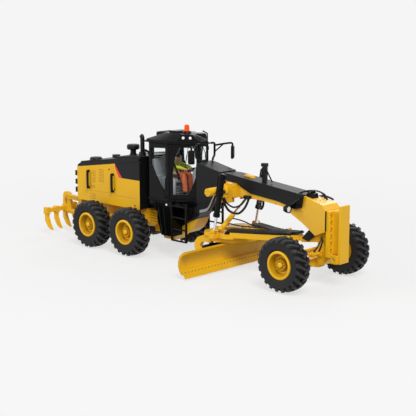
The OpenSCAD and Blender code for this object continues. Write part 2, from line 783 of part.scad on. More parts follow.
module beacon() {
  color([1, 0.32, 0]) machine() translate([beacon_x, 0, roof_top + beacon_base + 2 * seat_gap])
    rotate_extrude() polygon([[0, 0], [1.6, 0], [1.6, 0.5], [1.45, 0.6], [1.3, 3], [0.9, 3.5], [0, 3.6]]);
}

// Inside of the cab: front console, its panel, side consoles and the trim of the rear wall
module cab_inside() {
  floor_z = cab_z + 1 + seat_gap;
  trim_x = cab_back + wall_t + 0.3;
  color(grey) machine() {
    side_plate([[-78.4, floor_z], [-78.4, 50.4], [-79.4, 51], [-82.4, 47], [-81.6, 43], [-82.6, floor_z]], -1.7, 1.7);
    slab([trim_x, -cab_y + 2.2, floor_z], [trim_x + 1.2, cab_y - 2.2, 57.6]);
    slab([trim_x + 1.1, -8.5, floor_z], [trim_x + 2.4, 8.5, 46]);
    both_sides() side_plate([[-101, floor_z], [-101, 43.4], [-94, 44.4], [-90.6, 43.2], [-91.4, floor_z]], 6.4, 8.4);
  }
}

seat_high = 8;

module seat() {
  floor_z = cab_z + 1 + seat_gap;
  cushion = floor_z + seat_high;
  color(grey) machine() {
    slab([-99, -2.5, floor_z], [-94, 2.5, cushion + 0.1]);
    slab([-100.4, -4, cushion], [-92.4, 4, cushion + 2.4]);
    side_plate([[-101.2, cushion + 2], [-102.4, cushion + 15], [-100.6, cushion + 15.4], [-99.2, cushion + 2]], -4, 4);
    both_sides() slab([-98, 4.4, cushion + 5], [-91.8, 5.8, cushion + 6.2]);
    both_sides() slab([-98.6, 3.9, cushion + 0.6], [-97, 5, cushion + 5.6]);
  }
}

module operator_figure() {
  base_z = cab_z + 1 + seat_gap + seat_high + 2.4 + seat_gap;
  color([0.75, 0.8, 0.1]) machine() {
    translate([-96.6, 0, base_z]) cylinder(r = 2.1, h = 9);
    translate([-96.4, 0, base_z + 11.6]) sphere(r = 2);
    translate([-96.5, 0, base_z + 8.4]) cylinder(r = 0.9, h = 2.4);
    both_sides() {
      tube([[-96.6, 1.6, base_z + 1.6], [-87.2, 2.2, base_z + 2.4], [-85.6, 2.3, base_z - 7.4]], 1.35);
      tube([[-96.6, 2.2, base_z + 7.6], [-93.2, 3.6, base_z + 5.4], [-86.6, 2.6, base_z + 6.8]], 0.8);
    }
  }
}

// Mirror posts in front of the doors, their arms and the mirror plates
post_x = cab_front + 0.85;
post_y = 7.2;
mirror_at = [cab_front + 6, 16];
mirror_size = [3.6, 7.4];
mirror_turn = 30;
mirror_z = 54;
tube_r = 0.45;

// Rounded plate across the machine, from its lower corner
module round_plate(size, r, t) {
  rotate([90, 0, 90]) linear_extrude(t) {
    for (y = [r, size[0] - r]) for (z = [r, size[1] - r]) translate([y, z]) circle(r, $fn = 24);
    translate([r, 0]) square([size[0] - 2 * r, size[1]]);
    translate([0, r]) square([size[0], size[1] - 2 * r]);
  }
}

module mirrors() {
  top_z = roof_z + 0.4;
  root = [post_x, post_y, top_z - 1.4];
  tip = [mirror_at[0], mirror_at[1], top_z - 0.3];
  color(black) machine() both_sides() {
    tube([[post_x + 0.3, 5.6, 53.75], [post_x + 0.3, 5.6, 54.8], [post_x, post_y, 56.6], [post_x, post_y, top_z],
      [post_x - 0.1, screen_y + 1.5, top_z]], tube_r);
    tube([root, tip, [tip[0], tip[1], mirror_z + mirror_size[1] - 0.5]], tube_r - 0.06);
    rod(root - [0, 0, 3.6], (root + tip) / 2, tube_r - 0.15);
    translate([mirror_at[0], mirror_at[1], mirror_z]) rotate([0, 0, mirror_turn])
      translate([-0.5, -mirror_size[0] / 2, 0]) round_plate(mirror_size, 1, 1);
  }
}

// Boxes and side panels under the cab, and the ladders outside them
box_line = [[-106, 31], [-106, 28.6], [-100, 24.6], [-100, 21], [-97, 12], [-88.5, 12], [-88.5, 31]];
panel_line = [[-89, 31], [-89, 17.2], [-82.4, 20.8], [-76.1, 24.9], [-76.1, 31]];

module side_boxes() {
  color(black) machine() both_sides() {
    side_plate(box_line, neck_y + seat_gap, 12.6);
    side_plate(panel_line, neck_y + seat_gap + 0.02, house_y);
    slab([-89, neck_y + seat_gap + 0.1, 28.6], [-79, 11, 30.9]);
  }
}

module ladders() {
  color(black) machine() both_sides() {
    for (x = [-86.4, -75.6]) slab([x - 0.4, 13.8, 10.6], [x + 0.4, 15, 32]);
    for (z = [10.6, 17, 23.4, 29.6]) slab([-86.4, 13.8, z], [-75.6, 15, z + 0.7]);
    slab([-86.4, 11 + seat_gap, 29.6], [-80, 14, 30.4]);
  }
}

// Lamp brackets beside the head, their lamps and the cap on top of the head
bracket_line = [[-3.4, 44], [-4.6, 37.8], [-8.6, 36.7], [-11.8, 36.8], [-11.6, 38.3], [-9.6, 38.9], [-6.8, 42.4]];
cap_line = [[-3.4, 43.46], [-2.9, 45], [-0.6, 45.2], [2.4, 43.9], [2.9, 41.98]];
lamp_at = [-12.2, 9, 36.9];

module headlamps() {
  color(black) nose() {
    side_plate(cap_line, -3.6, 3.6);
    both_sides() {
      side_plate(bracket_line, neck_y + cover_t + seat_gap, neck_y + cover_t + 0.75);
      bar_y(-10.9, 37.5, 0.55, neck_y + cover_t + 0.4, 7.8);
      translate(lamp_at) rotate([0, 90, 0]) difference() {
        cylinder(r = 1.9, h = 2.7);
        translate([0, 0, 2.3]) cylinder(r = 1.55, h = 1);
      }
    }
  }
}

// Top of the black skin at x, between the saddle and the head
function skin_z(x) = 49.5 - 5.4 * (x + 53) / (front(-3.9) + 53);
mast_x = -34;
mast_h = 9.15;

module mast() {
  foot = skin_z(mast_x) + seat_gap;
  color(black) machine() {
    slab([mast_x, -1, foot], [mast_x + 2, 1, foot + mast_h - 0.6]);
    rod([mast_x + 1.6, 0, foot + mast_h - 2.6], [mast_x + 6, 0, skin_z(mast_x + 6) + 0.55], 0.35);
    slab([mast_x - 0.6, -1.3, foot + mast_h - 1.7], [mast_x + 2.2, 1.3, foot + mast_h]);
  }
}

hose_route = [
  [-40, 5.6, 38.8], [-40.6, 6.6, 36.2], [-41.6, 8.2, 34], [-43.2, 10.2, 33], [-45, 12, 33.4], [-46.8, 13.2, 35], [-48, 13.8, 37]
];

module frame_hoses() {
  color(black) machine() both_sides() {
    tube(hose_route, 0.5);
    slab([-41, neck_y + seat_gap, 38.2], [-39, neck_y + 1.4, 39.6]);
  }
}

// Rear frame with the tongue of the frame joint and the ripper brackets
rail_z = [axle_z + 3.4 + seat_gap, 24.4];
tongue_z = [fork_low[1] + pin_gap, fork_high[0] - pin_gap];
ear_y = [6.4, 8.1];
ripper_y = [8.2, 9.8];
ripper_pin_r = 0.65;
jack_in = [-169.5, 22.6];
jack_out = [-185.6, 17.4];

// One rib of the stack beside the tongue
module cooler_rib(z) {
  slab([hitch_x - 10.1, 6, z - 0.55], [hitch_x - 2.3, 8, z + 0.55]);
  translate([hitch_x - 10.2, 8, z]) rotate([0, 90, 0]) cylinder(r = 0.68, h = 8);
}

module rear_frame() {
  color(yellow) machine() {
    translate([hitch_x, 0, fork_low[0]]) cylinder(r = hitch_pin_d / 2, h = fork_high[1] - fork_low[0]);
    translate([hitch_x, 0, tongue_z[0]]) cylinder(r = 4, h = tongue_z[1] - tongue_z[0]);
    slab([hitch_x - 8.6, -4, tongue_z[0]], [hitch_x, 4, tongue_z[1]]);
    slab([-166, -9.5, rail_z[0]], [hitch_x - 8, 9.5, rail_z[1]]);
    slab([-168, -13, 15], [-165.6, 13, 24.3]);
    both_sides() {
      side_plate([[-171, 11.4], [-171, 24], [-166, 24], [-160, 17.2], [-160, 15], [-166, 11.4]], ear_y[0], ear_y[1]);
      for (p = [arm_in, arm_in + link_rise]) bar_y(p[0], p[1], ripper_pin_r, ear_y[0], ripper_y[1] + 0.4);
      slab([jack_in[0] - 1.2, 1.75, 20], [-167.9, 2.5, jack_in[1] + 1.2]);
      slab([hitch_x - 10, 3.9, 16.1], [hitch_x - 2.4, 7, 23.5]);
      for (i = [0 : 4]) cooler_rib(16.7 + 1.6 * i);
    }
    bar_y(jack_in[0], jack_in[1], 0.6, -2, 2);
  }
}

// Hood: panel joints and louvres in its sides, a grille in its rear wall
hood_front = hitch_x - 10.1;
hood_back = hood_front - hood_l;
hood_y = hood_w / 2;
// The sides run on past the bulkhead as lips
lip_x = hood_front + 1.7;
lip_y = hood_y - 1.6;
hood_z = 24.5;
step_x = hood_front - 18.9;
hood_top = [51.3, 48.7, 43.9];
groove = 0.2;
// x, z, width and height of the louvre fields, from the hood's front
louvres = [[-39.1, 36.1, 2.9, 7.9], [-33.6, 36.7, 4.8, 8.1], [-40.4, 26.1, 3.9, 4], [-40.3, 32.7, 3.6, 2.4]];
louvre_pitch = 0.9;
joints_up = [[-41.5, 25.4, 45], [-22.2, 32, 47.4], [-20.4, 25.2, 47.8]];
joints_along = [[-40.4, -22.2, 31], [-18.6, -0.8, 30.3]];
grille_y = 11;
grille_z = [28.4, 40.6];
grille_pitch = 1.5;

module hood() {
  color(yellow) machine() difference() {
    side_plate([
      [lip_x, hood_z], [lip_x, hood_top[0]], [hood_front, hood_top[0]], [step_x, hood_top[1]], [hood_back, hood_top[2]],
      [hood_back, hood_z]
    ], -hood_y, hood_y);
    slab([hood_front, -lip_y, hood_z - 1], [lip_x + 1, lip_y, hood_top[0] + 1]);
    both_sides() translate([hood_front, hood_y - groove, 0]) {
      for (f = louvres) for (i = [0 : floor(f[3] / louvre_pitch) - 1])
        translate([f[0], 0, f[1] + i * louvre_pitch]) cube([f[2], 1, 0.4]);
      for (j = joints_up) translate([j[0], 0, j[1]]) cube([groove, 1, j[2] - j[1]]);
      for (j = joints_along) translate([j[0], 0, j[2]]) cube([j[1] - j[0], 1, groove]);
    }
    for (z = [grille_z[0] : grille_pitch : grille_z[1]])
      translate([hood_back - 1, -grille_y, z]) cube([1.9, 2 * grille_y, 0.9]);
  }
}

// Black bulkhead and lid: a rear slope, a raised front part and rolled edges
cover_front = hood_front + 0.8;
lid_top = [hood_top[0] + lid_t + 0.5, hood_top[1] + lid_t + 1.7, hood_top[1] + lid_t + 0.2, hood_top[2] + lid_t + 0.9];

module lid_layer(drop, half) {
  g = seat_gap;
  side_plate([
    [cover_front, hood_z], [cover_front, lid_top[0] - drop], [step_x, lid_top[1] - drop], [step_x - 1.7, lid_top[2] - drop],
    [hood_back + 2.2, lid_top[3] - drop], [hood_back + 0.3, hood_top[2] + 1.2], [hood_back + 0.1, hood_top[2] + 2 * g],
    [step_x, hood_top[1] + g], [hood_front + g, hood_top[0] + g], [hood_front + g, hood_z]
  ], -half, half);
}

module hood_cover() {
  color(black) machine() {
    difference() {
      union() {
        lid_layer(1, hood_y - 0.3);
        lid_layer(0, hood_y - 1.5);
      }
      both_sides() slab([hood_front - 0.5, lip_y - seat_gap, hood_z - 1], [lip_x + 1, hood_y + 1, hood_top[0] + seat_gap]);
    }
    translate([exhaust_at[0], exhaust_at[1], 52.4]) cylinder(r = 2, h = 3.6);
    translate([cleaner_at[0], cleaner_at[1], 51.6]) cylinder(r = 2.1, h = 2.4);
    translate([hood_front - 42.4, -10.2, 46.6]) rotate_extrude()
      polygon([[0, 0], [3.7, 0], [3.7, 2.6], [3.2, 3.3], [0, 3.6]]);
    translate([hood_front - 36, 0, 47.8]) cylinder(r = 2.4, h = 3.2);
  }
}

// Grab handles and the lamp blocks on the rear corners
handle_x = [hood_front - 42, hood_front - 20.6];
handle_z = [32.6, 42.4];

module hood_trim() {
  out_y = hood_y + 1.3;
  color(black) machine() both_sides() {
    for (x = handle_x)
      tube([[x, hood_y + seat_gap, handle_z[0]], [x, out_y, handle_z[0]], [x, out_y, handle_z[1]],
        [x, hood_y + seat_gap, handle_z[1]]], 0.5);
    for (z = [28.6, 33.4, 38.5]) difference() {
      slab([hood_back - 1.6, hood_y - 3, z], [hood_back - seat_gap, hood_y + 0.2, z + 3]);
      translate([hood_back - 2, hood_y - 1.4, z + 1.5]) rotate([0, 90, 0]) cylinder(r = 1.1, h = 0.8);
    }
  }
}

exhaust_at = [hood_front - 4.3, -8];
cleaner_at = [hood_front - 14.3, -6];

module exhaust() {
  color(black) machine() translate([exhaust_at[0], exhaust_at[1], 56 + seat_gap]) {
    cylinder(r = 1.25, h = 7.4);
    translate([-2, 0, 7.4]) rotate([90, 0, 0]) rotate_extrude(angle = 55) translate([2, 0]) circle(1.25);
  }
}

module precleaner() {
  color(black) machine() translate([cleaner_at[0], cleaner_at[1], 54 + seat_gap]) rotate_extrude()
    polygon([[0, 0], [1.7, 0], [1.7, 2.1], [3.1, 2.4], [3.65, 3], [3.65, 4.6], [3.2, 5.3], [0, 5.6]]);
}

// Tandem cases with the axle housing between them
case_y = [13.2, 18.2];

module tandems() {
  color(yellow) machine() {
    bar_y(tandem_x, axle_z, 3.4, -case_y[0] - 0.5, case_y[0] + 0.5);
    both_sides() {
      pad(rear_x2, axle_z, rear_x1, axle_z, 5.2, case_y[0], case_y[1]);
      for (x = [rear_x1, rear_x2]) bar_y(x, axle_z, stub_r, case_y[1] - 1, rear_y + 1.4);
    }
  }
}

// Ripper: parallel links, carriage with beam and shanks, and its cylinder
arm_out = arm_in + arm_run;
bore_r = ripper_pin_r + pin_gap;

module link_plates(p) {
  q = p + arm_run;
  both_sides() difference() {
    pad(p[0], p[1], q[0], q[1], 1.4, ripper_y[0], ripper_y[1]);
    for (e = [p, q]) bar_y(e[0], e[1], bore_r, ripper_y[0] - 1, ripper_y[1] + 1);
  }
}

module ripper_arms() {
  color(yellow) machine() link_plates(arm_in);
}

module ripper_links() {
  color(yellow) machine() link_plates(arm_in + link_rise);
}

shank_line = [
  [-190.4, 16.6], [-190.4, 8.8], [-187.6, 5], [-184, 3.5], [-186.4, 7.4], [-187.8, 10.8], [-187.8, 16.6]
];
shank_t = 1.7;
socket_t = 2.6;
tower_line = [
  [-190.2, 14.6], [-189.4, 24], [-188, 25.3], [-185.4, 25.6], [-183.3, 24.8], [-182.4, 21], [-181.8, 12.4],
  [-184.6, 12], [-187.5, 13.6]
];

module ripper_beam() {
  color(yellow) machine() {
    slab([-190.5, -ripper_w / 2, 13.9], [-187.6, ripper_w / 2, 16.2]);
    for (i = [-3 : 3]) translate([0, i * shank_pitch, 0]) {
      side_plate(shank_line, -shank_t / 2, shank_t / 2);
      slab([-190.9, -socket_t / 2, 13], [-187.2, socket_t / 2, 16.9]);
    }
    both_sides() {
      difference() {
        side_plate(tower_line, ear_y[0], ear_y[1]);
        pad(-187, 22.6, -186.5, 18.2, 0.7, ear_y[0] - 1, ear_y[1] + 1);
      }
      for (p = [arm_out, arm_out + link_rise]) bar_y(p[0], p[1], ripper_pin_r, ear_y[0] + 0.2, ripper_y[1] + 0.4);
      slab([-188, 1.45, 15], [jack_out[0] + 1, 2.2, jack_out[1] + 1]);
      bar_y(jack_out[0], jack_out[1], 0.8, 2.1, 2.6);
    }
  }
}

jack_v = jack_out - jack_in;
jack_len = norm(jack_v);
jack_tilt = atan2(jack_v[0], jack_v[1]);

module jack_place() {
  machine() translate([jack_in[0], 0, jack_in[1]]) rotate([0, jack_tilt, 0]) children();
}

module ripper_barrel() {
  color(black) jack_place() difference() {
    union() {
      translate([0, 0, 1]) cylinder(r = 1.5, h = jack_len * 0.6);
      bar_y(0, 0, 1.2, -1.3, 1.3);
    }
    bar_y(0, 0, 0.6 + pin_gap, -2, 2);
    translate([0, 0, 2.3]) cylinder(r = rod_r + pin_gap, h = jack_len);
  }
}

module ripper_rod() {
  color(chrome) jack_place() difference() {
    union() {
      translate([0, 0, 6]) cylinder(r = rod_r, h = jack_len - 7);
      bar_y(0, jack_len, 1.2, -1.3, 1.3);
    }
    bar_y(0, jack_len, 0.6 + pin_gap, -2, 2);
  }
}

main_frame();
neck_cover();
push_block();
front_axle();
knuckle_right();
knuckle_left();
tie_rod();
lift_saddle();
lift_barrels();
lift_rods();
shift_barrel();
shift_rod();
ball_boot();
drawbar();
drawbar_hoses();
circle_drive();
turn_circle();
side_shift_barrel();
moldboard();
cutting_edge();
side_shift_rod();
cab_shell();
cab_doors();
cab_roof();
cab_glass();
cab_inside();
seat();
operator_figure();
roof_unit();
beacon();
mirrors();
ladders();
side_boxes();
headlamps();
mast();
frame_hoses();
rear_frame();
hood();
hood_cover();
hood_trim();
exhaust();
precleaner();
tandems();
tyre_front_right();
rim_front_right();
tyre_front_left();
rim_front_left();
tyre_mid_right();
rim_mid_right();
tyre_mid_left();
rim_mid_left();
tyre_rear_right();
rim_rear_right();
tyre_rear_left();
rim_rear_left();
ripper_arms();
ripper_links();
ripper_beam();
ripper_barrel();
ripper_rod();
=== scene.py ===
import bpy
import bmesh
import math
import random
from mathutils import Matrix, Vector


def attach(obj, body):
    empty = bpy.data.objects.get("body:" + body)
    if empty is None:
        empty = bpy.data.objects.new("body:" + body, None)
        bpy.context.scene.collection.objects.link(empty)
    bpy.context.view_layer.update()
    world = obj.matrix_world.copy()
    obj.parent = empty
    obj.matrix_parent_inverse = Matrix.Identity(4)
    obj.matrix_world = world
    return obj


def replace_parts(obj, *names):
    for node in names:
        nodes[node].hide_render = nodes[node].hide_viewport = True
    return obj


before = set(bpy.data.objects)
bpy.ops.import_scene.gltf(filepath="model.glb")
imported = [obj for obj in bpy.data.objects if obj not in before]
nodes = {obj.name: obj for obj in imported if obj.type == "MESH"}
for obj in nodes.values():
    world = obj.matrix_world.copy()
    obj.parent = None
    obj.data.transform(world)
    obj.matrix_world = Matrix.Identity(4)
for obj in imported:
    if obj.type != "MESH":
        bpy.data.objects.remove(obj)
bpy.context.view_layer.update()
print("frame loaded:", len(nodes), "nodes")

mm = 0.001
axleX = 86.6  # the frame's x of the front axle, in mm; the pieces below count x from that axle
sideNames = {-1: "right", 1: "left"}  # by the sign of y


def feed(tree, value, socket):
    if hasattr(value, "is_output"):
        tree.links.new(value, socket)
    else:
        socket.default_value = value


def math2(tree, operation, a, b):
    node = tree.nodes.new("ShaderNodeMath")
    node.operation = operation
    feed(tree, a, node.inputs[0])
    feed(tree, b, node.inputs[1])
    return node.outputs[0]


def mapValue(tree, value, lo, hi, toLo, toHi, kind="LINEAR"):
    node = tree.nodes.new("ShaderNodeMapRange")
    node.interpolation_type = kind
    labels = ("Value", "From Min", "From Max", "To Min", "To Max")
    for label, number in zip(labels, (value, lo, hi, toLo, toHi)):
        feed(tree, number, node.inputs[label])
    return node.outputs["Result"]


def mixColor(tree, factor, a, b):
    node = tree.nodes.new("ShaderNodeMix")
    node.data_type = "RGBA"
    for socket, value in ((node.inputs[0], factor), (node.inputs[6], a), (node.inputs[7], b)):
        feed(tree, value, socket)
    return node.outputs[2]


def mixShaders(tree, factor, first, second, target):
    mix = tree.nodes.new("ShaderNodeMixShader")
    for value, socket in zip((factor, first.outputs[0], second.outputs[0]), mix.inputs):
        tree.links.new(value, socket)
    tree.links.new(mix.outputs[0], target)


def noise(tree, scale, detail):
    coord = tree.nodes.new("ShaderNodeTexCoord")
    node = tree.nodes.new("ShaderNodeTexNoise")
    tree.links.new(coord.outputs["Object"], node.inputs["Vector"])
    feed(tree, scale, node.inputs["Scale"])
    node.inputs["Detail"].default_value = detail
    return node.outputs["Fac"]


def objectAxes(tree):
    coord = tree.nodes.new("ShaderNodeTexCoord")
    split = tree.nodes.new("ShaderNodeSeparateXYZ")
    tree.links.new(coord.outputs["Object"], split.inputs[0])
    return split.outputs


studio = {
    "eye": (371.9, -375.4, 123.4),  # mm
    "right": (0.7232, 0.6906, 0.0),
    "up": (-0.1244, 0.1303, 0.9835),
    "focalPx": 972.0,
    "framePx": 416.0,
    "paper": 0.913,
    "worldStrength": 0.42,
    "floorTone": 0.72,
    "floorRadius": 1.2,  # m, as are the lamps' places
    "floorZ": -0.0002,
    "floorFade": (0.13, 0.36, 0.72, 1.0),  # distances from the middle, then how clear the floor is there
    "lamps": (  # name, place, aim, size and power
        ("keyLamp", (0.62, -0.42, 0.8), (0.0, 0.0, 0.03), 0.5, 9.0),
        ("fillLamp", (-0.6, -0.7, 0.5), (-0.02, 0.0, 0.03), 0.6, 4.0),
        ("backLamp", (-0.3, 0.8, 0.7), (0.0, 0.0, 0.04), 0.5, 2.5),
    ),
}


def makeCamera(cfg):
    data = bpy.data.cameras.new("photoCamera")
    data.sensor_width = 36.0
    data.lens = cfg["focalPx"] / cfg["framePx"] * data.sensor_width
    data.clip_start, data.clip_end = 0.01, 20.0
    cam = bpy.data.objects.new("photoCamera", data)
    bpy.context.scene.collection.objects.link(cam)
    right, up = Vector(cfg["right"]).normalized(), Vector(cfg["up"])
    back = right.cross(up).normalized()
    turn = Matrix((right, back.cross(right), back)).transposed().to_4x4()
    cam.matrix_world = Matrix.Translation(Vector(cfg["eye"]) * mm) @ turn
    bpy.context.scene.camera = cam


def addLamp(name, place, aim, size, power):
    data = bpy.data.lights.new(name, "AREA")
    data.shape = "DISK"
    data.size = size
    data.energy = power
    lamp = bpy.data.objects.new(name, data)
    bpy.context.scene.collection.objects.link(lamp)
    lamp.location = place
    lamp.rotation_mode = "QUATERNION"
    lamp.rotation_quaternion = (Vector(aim) - Vector(place)).to_track_quat("-Z", "Y")


def makeWorld(cfg):
    world = bpy.data.worlds.new("paperRoom")
    bpy.context.scene.world = world
    world.use_nodes = True
    tree = world.node_tree
    tree.nodes.clear()
    out = tree.nodes.new("ShaderNodeOutputWorld")
    soft = tree.nodes.new("ShaderNodeBackground")
    seen = tree.nodes.new("ShaderNodeBackground")
    soft.inputs["Color"].default_value = (1, 1, 1, 1)
    soft.inputs["Strength"].default_value = cfg["worldStrength"]
    seen.inputs["Color"].default_value = (*[cfg["paper"]] * 3, 1)
    path = tree.nodes.new("ShaderNodeLightPath")
    shown = path.outputs["Is Camera Ray"]
    for label in ("Is Transmission Ray", "Is Glossy Ray"):
        shown = math2(tree, "MAXIMUM", shown, path.outputs[label])
    mixShaders(tree, shown, soft, seen, out.inputs["Surface"])


def makeFloor(cfg):
    mesh = bpy.data.meshes.new("paperFloor")
    bm = bmesh.new()
    bmesh.ops.create_circle(bm, cap_ends=True, segments=96, radius=cfg["floorRadius"])
    bm.to_mesh(mesh)
    bm.free()
    floor = bpy.data.objects.new("paperFloor", mesh)
    bpy.context.scene.collection.objects.link(floor)
    floor.location.z = cfg["floorZ"]
    mat = bpy.data.materials.new("paperFloor")
    mat.use_nodes = True
    tree = mat.node_tree
    tree.nodes.clear()
    out = tree.nodes.new("ShaderNodeOutputMaterial")
    clear = tree.nodes.new("ShaderNodeBsdfTransparent")
    paper = tree.nodes.new("ShaderNodeBsdfDiffuse")
    paper.inputs["Color"].default_value = (*[cfg["floorTone"]] * 3, 1)
    geo = tree.nodes.new("ShaderNodeNewGeometry")
    length = tree.nodes.new("ShaderNodeVectorMath")
    length.operation = "LENGTH"
    tree.links.new(geo.outputs["Position"], length.inputs[0])
    fade = mapValue(tree, length.outputs["Value"], *cfg["floorFade"], kind="SMOOTHSTEP")
    mixShaders(tree, fade, paper, clear, out.inputs["Surface"])
    mesh.materials.append(mat)


bpy.context.scene.view_settings.view_transform = "Standard"
makeCamera(studio)
makeWorld(studio)
makeFloor(studio)
for lamp in studio["lamps"]:
    addLamp(*lamp)
print("studio set")


def newGroup(name, inputs, outputs):
    group = bpy.data.node_groups.new(name, "ShaderNodeTree")
    for label, kind, value in inputs:
        group.interface.new_socket(label, in_out="INPUT", socket_type=kind).default_value = value
    for label, kind in outputs:
        group.interface.new_socket(label, in_out="OUTPUT", socket_type=kind)
    return group, group.nodes.new("NodeGroupInput").outputs, group.nodes.new("NodeGroupOutput").inputs


# Slow change of tone, a fine grain and a roughness that follows them
def makeFinishGroup():
    group, given, result = newGroup(
        "mouldedFinish",
        [
            ("Color", "NodeSocketColor", (0.5, 0.5, 0.5, 1)),
            ("Tone", "NodeSocketFloat", 0.08),
            ("Rough Low", "NodeSocketFloat", 0.3),
            ("Rough High", "NodeSocketFloat", 0.45),
            ("Grain", "NodeSocketFloat", 2600.0),
        ],
        [("Color", "NodeSocketColor"), ("Roughness", "NodeSocketFloat"), ("Height", "NodeSocketFloat")],
    )
    slow = noise(group, 45.0, 3.0)
    shade = math2(group, "MULTIPLY", mapValue(group, slow, 0.3, 0.7, 1.0, 0.0), given["Tone"])
    rough = mapValue(group, slow, 0.3, 0.7, given["Rough Low"], given["Rough High"])
    group.links.new(mixColor(group, shade, given["Color"], (0, 0, 0, 1)), result["Color"])
    group.links.new(rough, result["Roughness"])
    group.links.new(noise(group, given["Grain"], 2.0), result["Height"])
    return group


# 1 above a slanted line in x and z, 0 below it
def makeLineGroup():
    group, given, result = newGroup(
        "aboveLine",
        [
            ("Slope", "NodeSocketFloat", 0.0),
            ("Height", "NodeSocketFloat", 0.0),
            ("Blend", "NodeSocketFloat", 0.00005),
        ],
        [("Mask", "NodeSocketFloat")],
    )
    axes = objectAxes(group)
    line = math2(group, "ADD", math2(group, "MULTIPLY", axes["X"], given["Slope"]), given["Height"])
    over = math2(group, "SUBTRACT", axes["Z"], line)
    below = math2(group, "MULTIPLY", given["Blend"], -1.0)
    group.links.new(mapValue(group, over, below, given["Blend"], 0.0, 1.0), result["Mask"])
    return group


finishGroup = makeFinishGroup()
lineGroup = makeLineGroup()


def newMaterial(name):
    mat = bpy.data.materials.new(name)
    mat.use_nodes = True
    return mat, mat.node_tree, mat.node_tree.nodes["Principled BSDF"]


def placeGroup(tree, group, **values):
    node = tree.nodes.new("ShaderNodeGroup")
    node.node_tree = group
    for label, value in values.items():
        node.inputs[label.replace("_", " ")].default_value = value
    return node.outputs


def addFinish(tree, color, tone, rough, grain):
    low, high = rough
    return placeGroup(
        tree, finishGroup, Color=(*color, 1), Tone=tone, Rough_Low=low, Rough_High=high, Grain=grain
    )


def addRelief(tree, skin, height, strength):
    relief = tree.nodes.new("ShaderNodeBump")
    relief.inputs["Strength"].default_value = strength
    relief.inputs["Distance"].default_value = 0.0001
    tree.links.new(height, relief.inputs["Height"])
    tree.links.new(relief.outputs["Normal"], skin.inputs["Normal"])


def finishMaterial(name, color, tone=0.08, rough=(0.3, 0.45), grain=2600.0, bump=0.05, gloss=0.5, **fixed):
    mat, tree, skin = newMaterial(name)
    finish = addFinish(tree, color, tone, rough, grain)
    tree.links.new(finish["Color"], skin.inputs["Base Color"])
    tree.links.new(finish["Roughness"], skin.inputs["Roughness"])
    addRelief(tree, skin, finish["Height"], bump)
    skin.inputs["Specular IOR Level"].default_value = gloss
    for label, value in fixed.items():
        skin.inputs[label.replace("_", " ")].default_value = value
    return mat


yellow = (0.8, 0.44, 0.012)
yellowPaint = finishMaterial("yellowPaint", yellow, 0.07, (0.24, 0.36), bump=0.02, gloss=0.22)
# Darker yellow for the blade and its cutting edge than for the frame
bladeDarkYellow = finishMaterial("bladeDarkYellow", (0.72, 0.39, 0.011), 0.1, (0.24, 0.36), bump=0.02, gloss=0.22)
# Darker copy of the yellow for the rims: painted shade of their deep dish
rimShadeYellow = finishMaterial("rimShadeYellow", (0.5, 0.27, 0.007), 0.1, (0.28, 0.4), bump=0.02, gloss=0.2)
blackSatin = finishMaterial("blackSatin", (0.007, 0.007, 0.008), 0.2, (0.26, 0.4), 3400.0, 0.06, 0.18)
blackGloss = finishMaterial("blackGloss", (0.0035, 0.0035, 0.004), 0.2, (0.14, 0.24), bump=0.02, gloss=0.13)
hoseRubber = finishMaterial("hoseRubber", (0.006, 0.006, 0.0065), 0.2, (0.3, 0.45), 3600.0, 0.2, 0.25)
tyreRubber = finishMaterial("tyreRubber", (0.032, 0.032, 0.034), 0.2, (0.62, 0.78), 3000.0, 0.25, 0.05)
lugRubber = finishMaterial("lugRubber", (0.027, 0.027, 0.0285), 0.22, (0.42, 0.56), 3000.0, 0.2, 0.2)
# Much darker rubber for the groove floors between the lugs: painted shade in the grooves
grooveShadeRubber = finishMaterial("grooveShadeRubber", (0.007, 0.007, 0.0075), 0.25, (0.5, 0.64), 3000.0, 0.2, 0.1)
chromeRod = finishMaterial("chromeRod", (0.82, 0.82, 0.84), 0.05, (0.08, 0.16), Metallic=1.0)
hoodShade = finishMaterial("hoodShade", (0.5, 0.265, 0.006), 0.3, (0.45, 0.6))
# Dark brown for the blade's bolt heads: painted shade of their recesses
edgeShade = finishMaterial("edgeShade", (0.22, 0.11, 0.004), 0.3, (0.45, 0.6))
greyTrim = finishMaterial("greyTrim", (0.36, 0.39, 0.41), 0.12, (0.5, 0.62), 3000.0, 0.12)
greyDark = finishMaterial("greyDark", (0.15, 0.16, 0.17), 0.15, (0.55, 0.7), 3000.0, 0.2)
greyCloth = finishMaterial("greyCloth", (0.29, 0.31, 0.33), 0.18, (0.7, 0.85), 3800.0, 0.35)
figureLime = finishMaterial("figureLime", (0.52, 0.6, 0.015), 0.15, (0.5, 0.62))
figureOrange = finishMaterial("figureOrange", (0.62, 0.13, 0.035), 0.15, (0.5, 0.62))
figureSkin = finishMaterial("figureSkin", (0.62, 0.3, 0.17), 0.1, (0.5, 0.62))
beaconOrange = finishMaterial("beaconOrange", (1.0, 0.095, 0.0), 0.05, (0.12, 0.2), gloss=0.2)
stripeRed = finishMaterial("stripeRed", (0.72, 0.02, 0.03), 0.05, (0.3, 0.4))
# Pale grey for the strip under the housing ahead of the cab: a painted highlight of its glossy black edge
skirtSheenGrey = finishMaterial("skirtSheenGrey", (0.36, 0.37, 0.385), 0.3, (0.2, 0.34))
labelWhite = finishMaterial("labelWhite", (0.85, 0.85, 0.85), 0.05, (0.35, 0.45))
lensClear = finishMaterial("lensClear", (0.9, 0.92, 0.94), 0.03, (0.06, 0.12), Coat_Weight=1.0)
lensRed = finishMaterial("lensRed", (0.5, 0.01, 0.01), 0.05, (0.1, 0.16), Coat_Weight=0.6)
lensAmber = finishMaterial("lensAmber", (0.9, 0.24, 0.0), 0.05, (0.1, 0.16), Coat_Weight=0.6)
mirrorGlass = finishMaterial("mirrorGlass", (0.55, 0.58, 0.6), 0.04, (0.04, 0.08), Metallic=1.0)


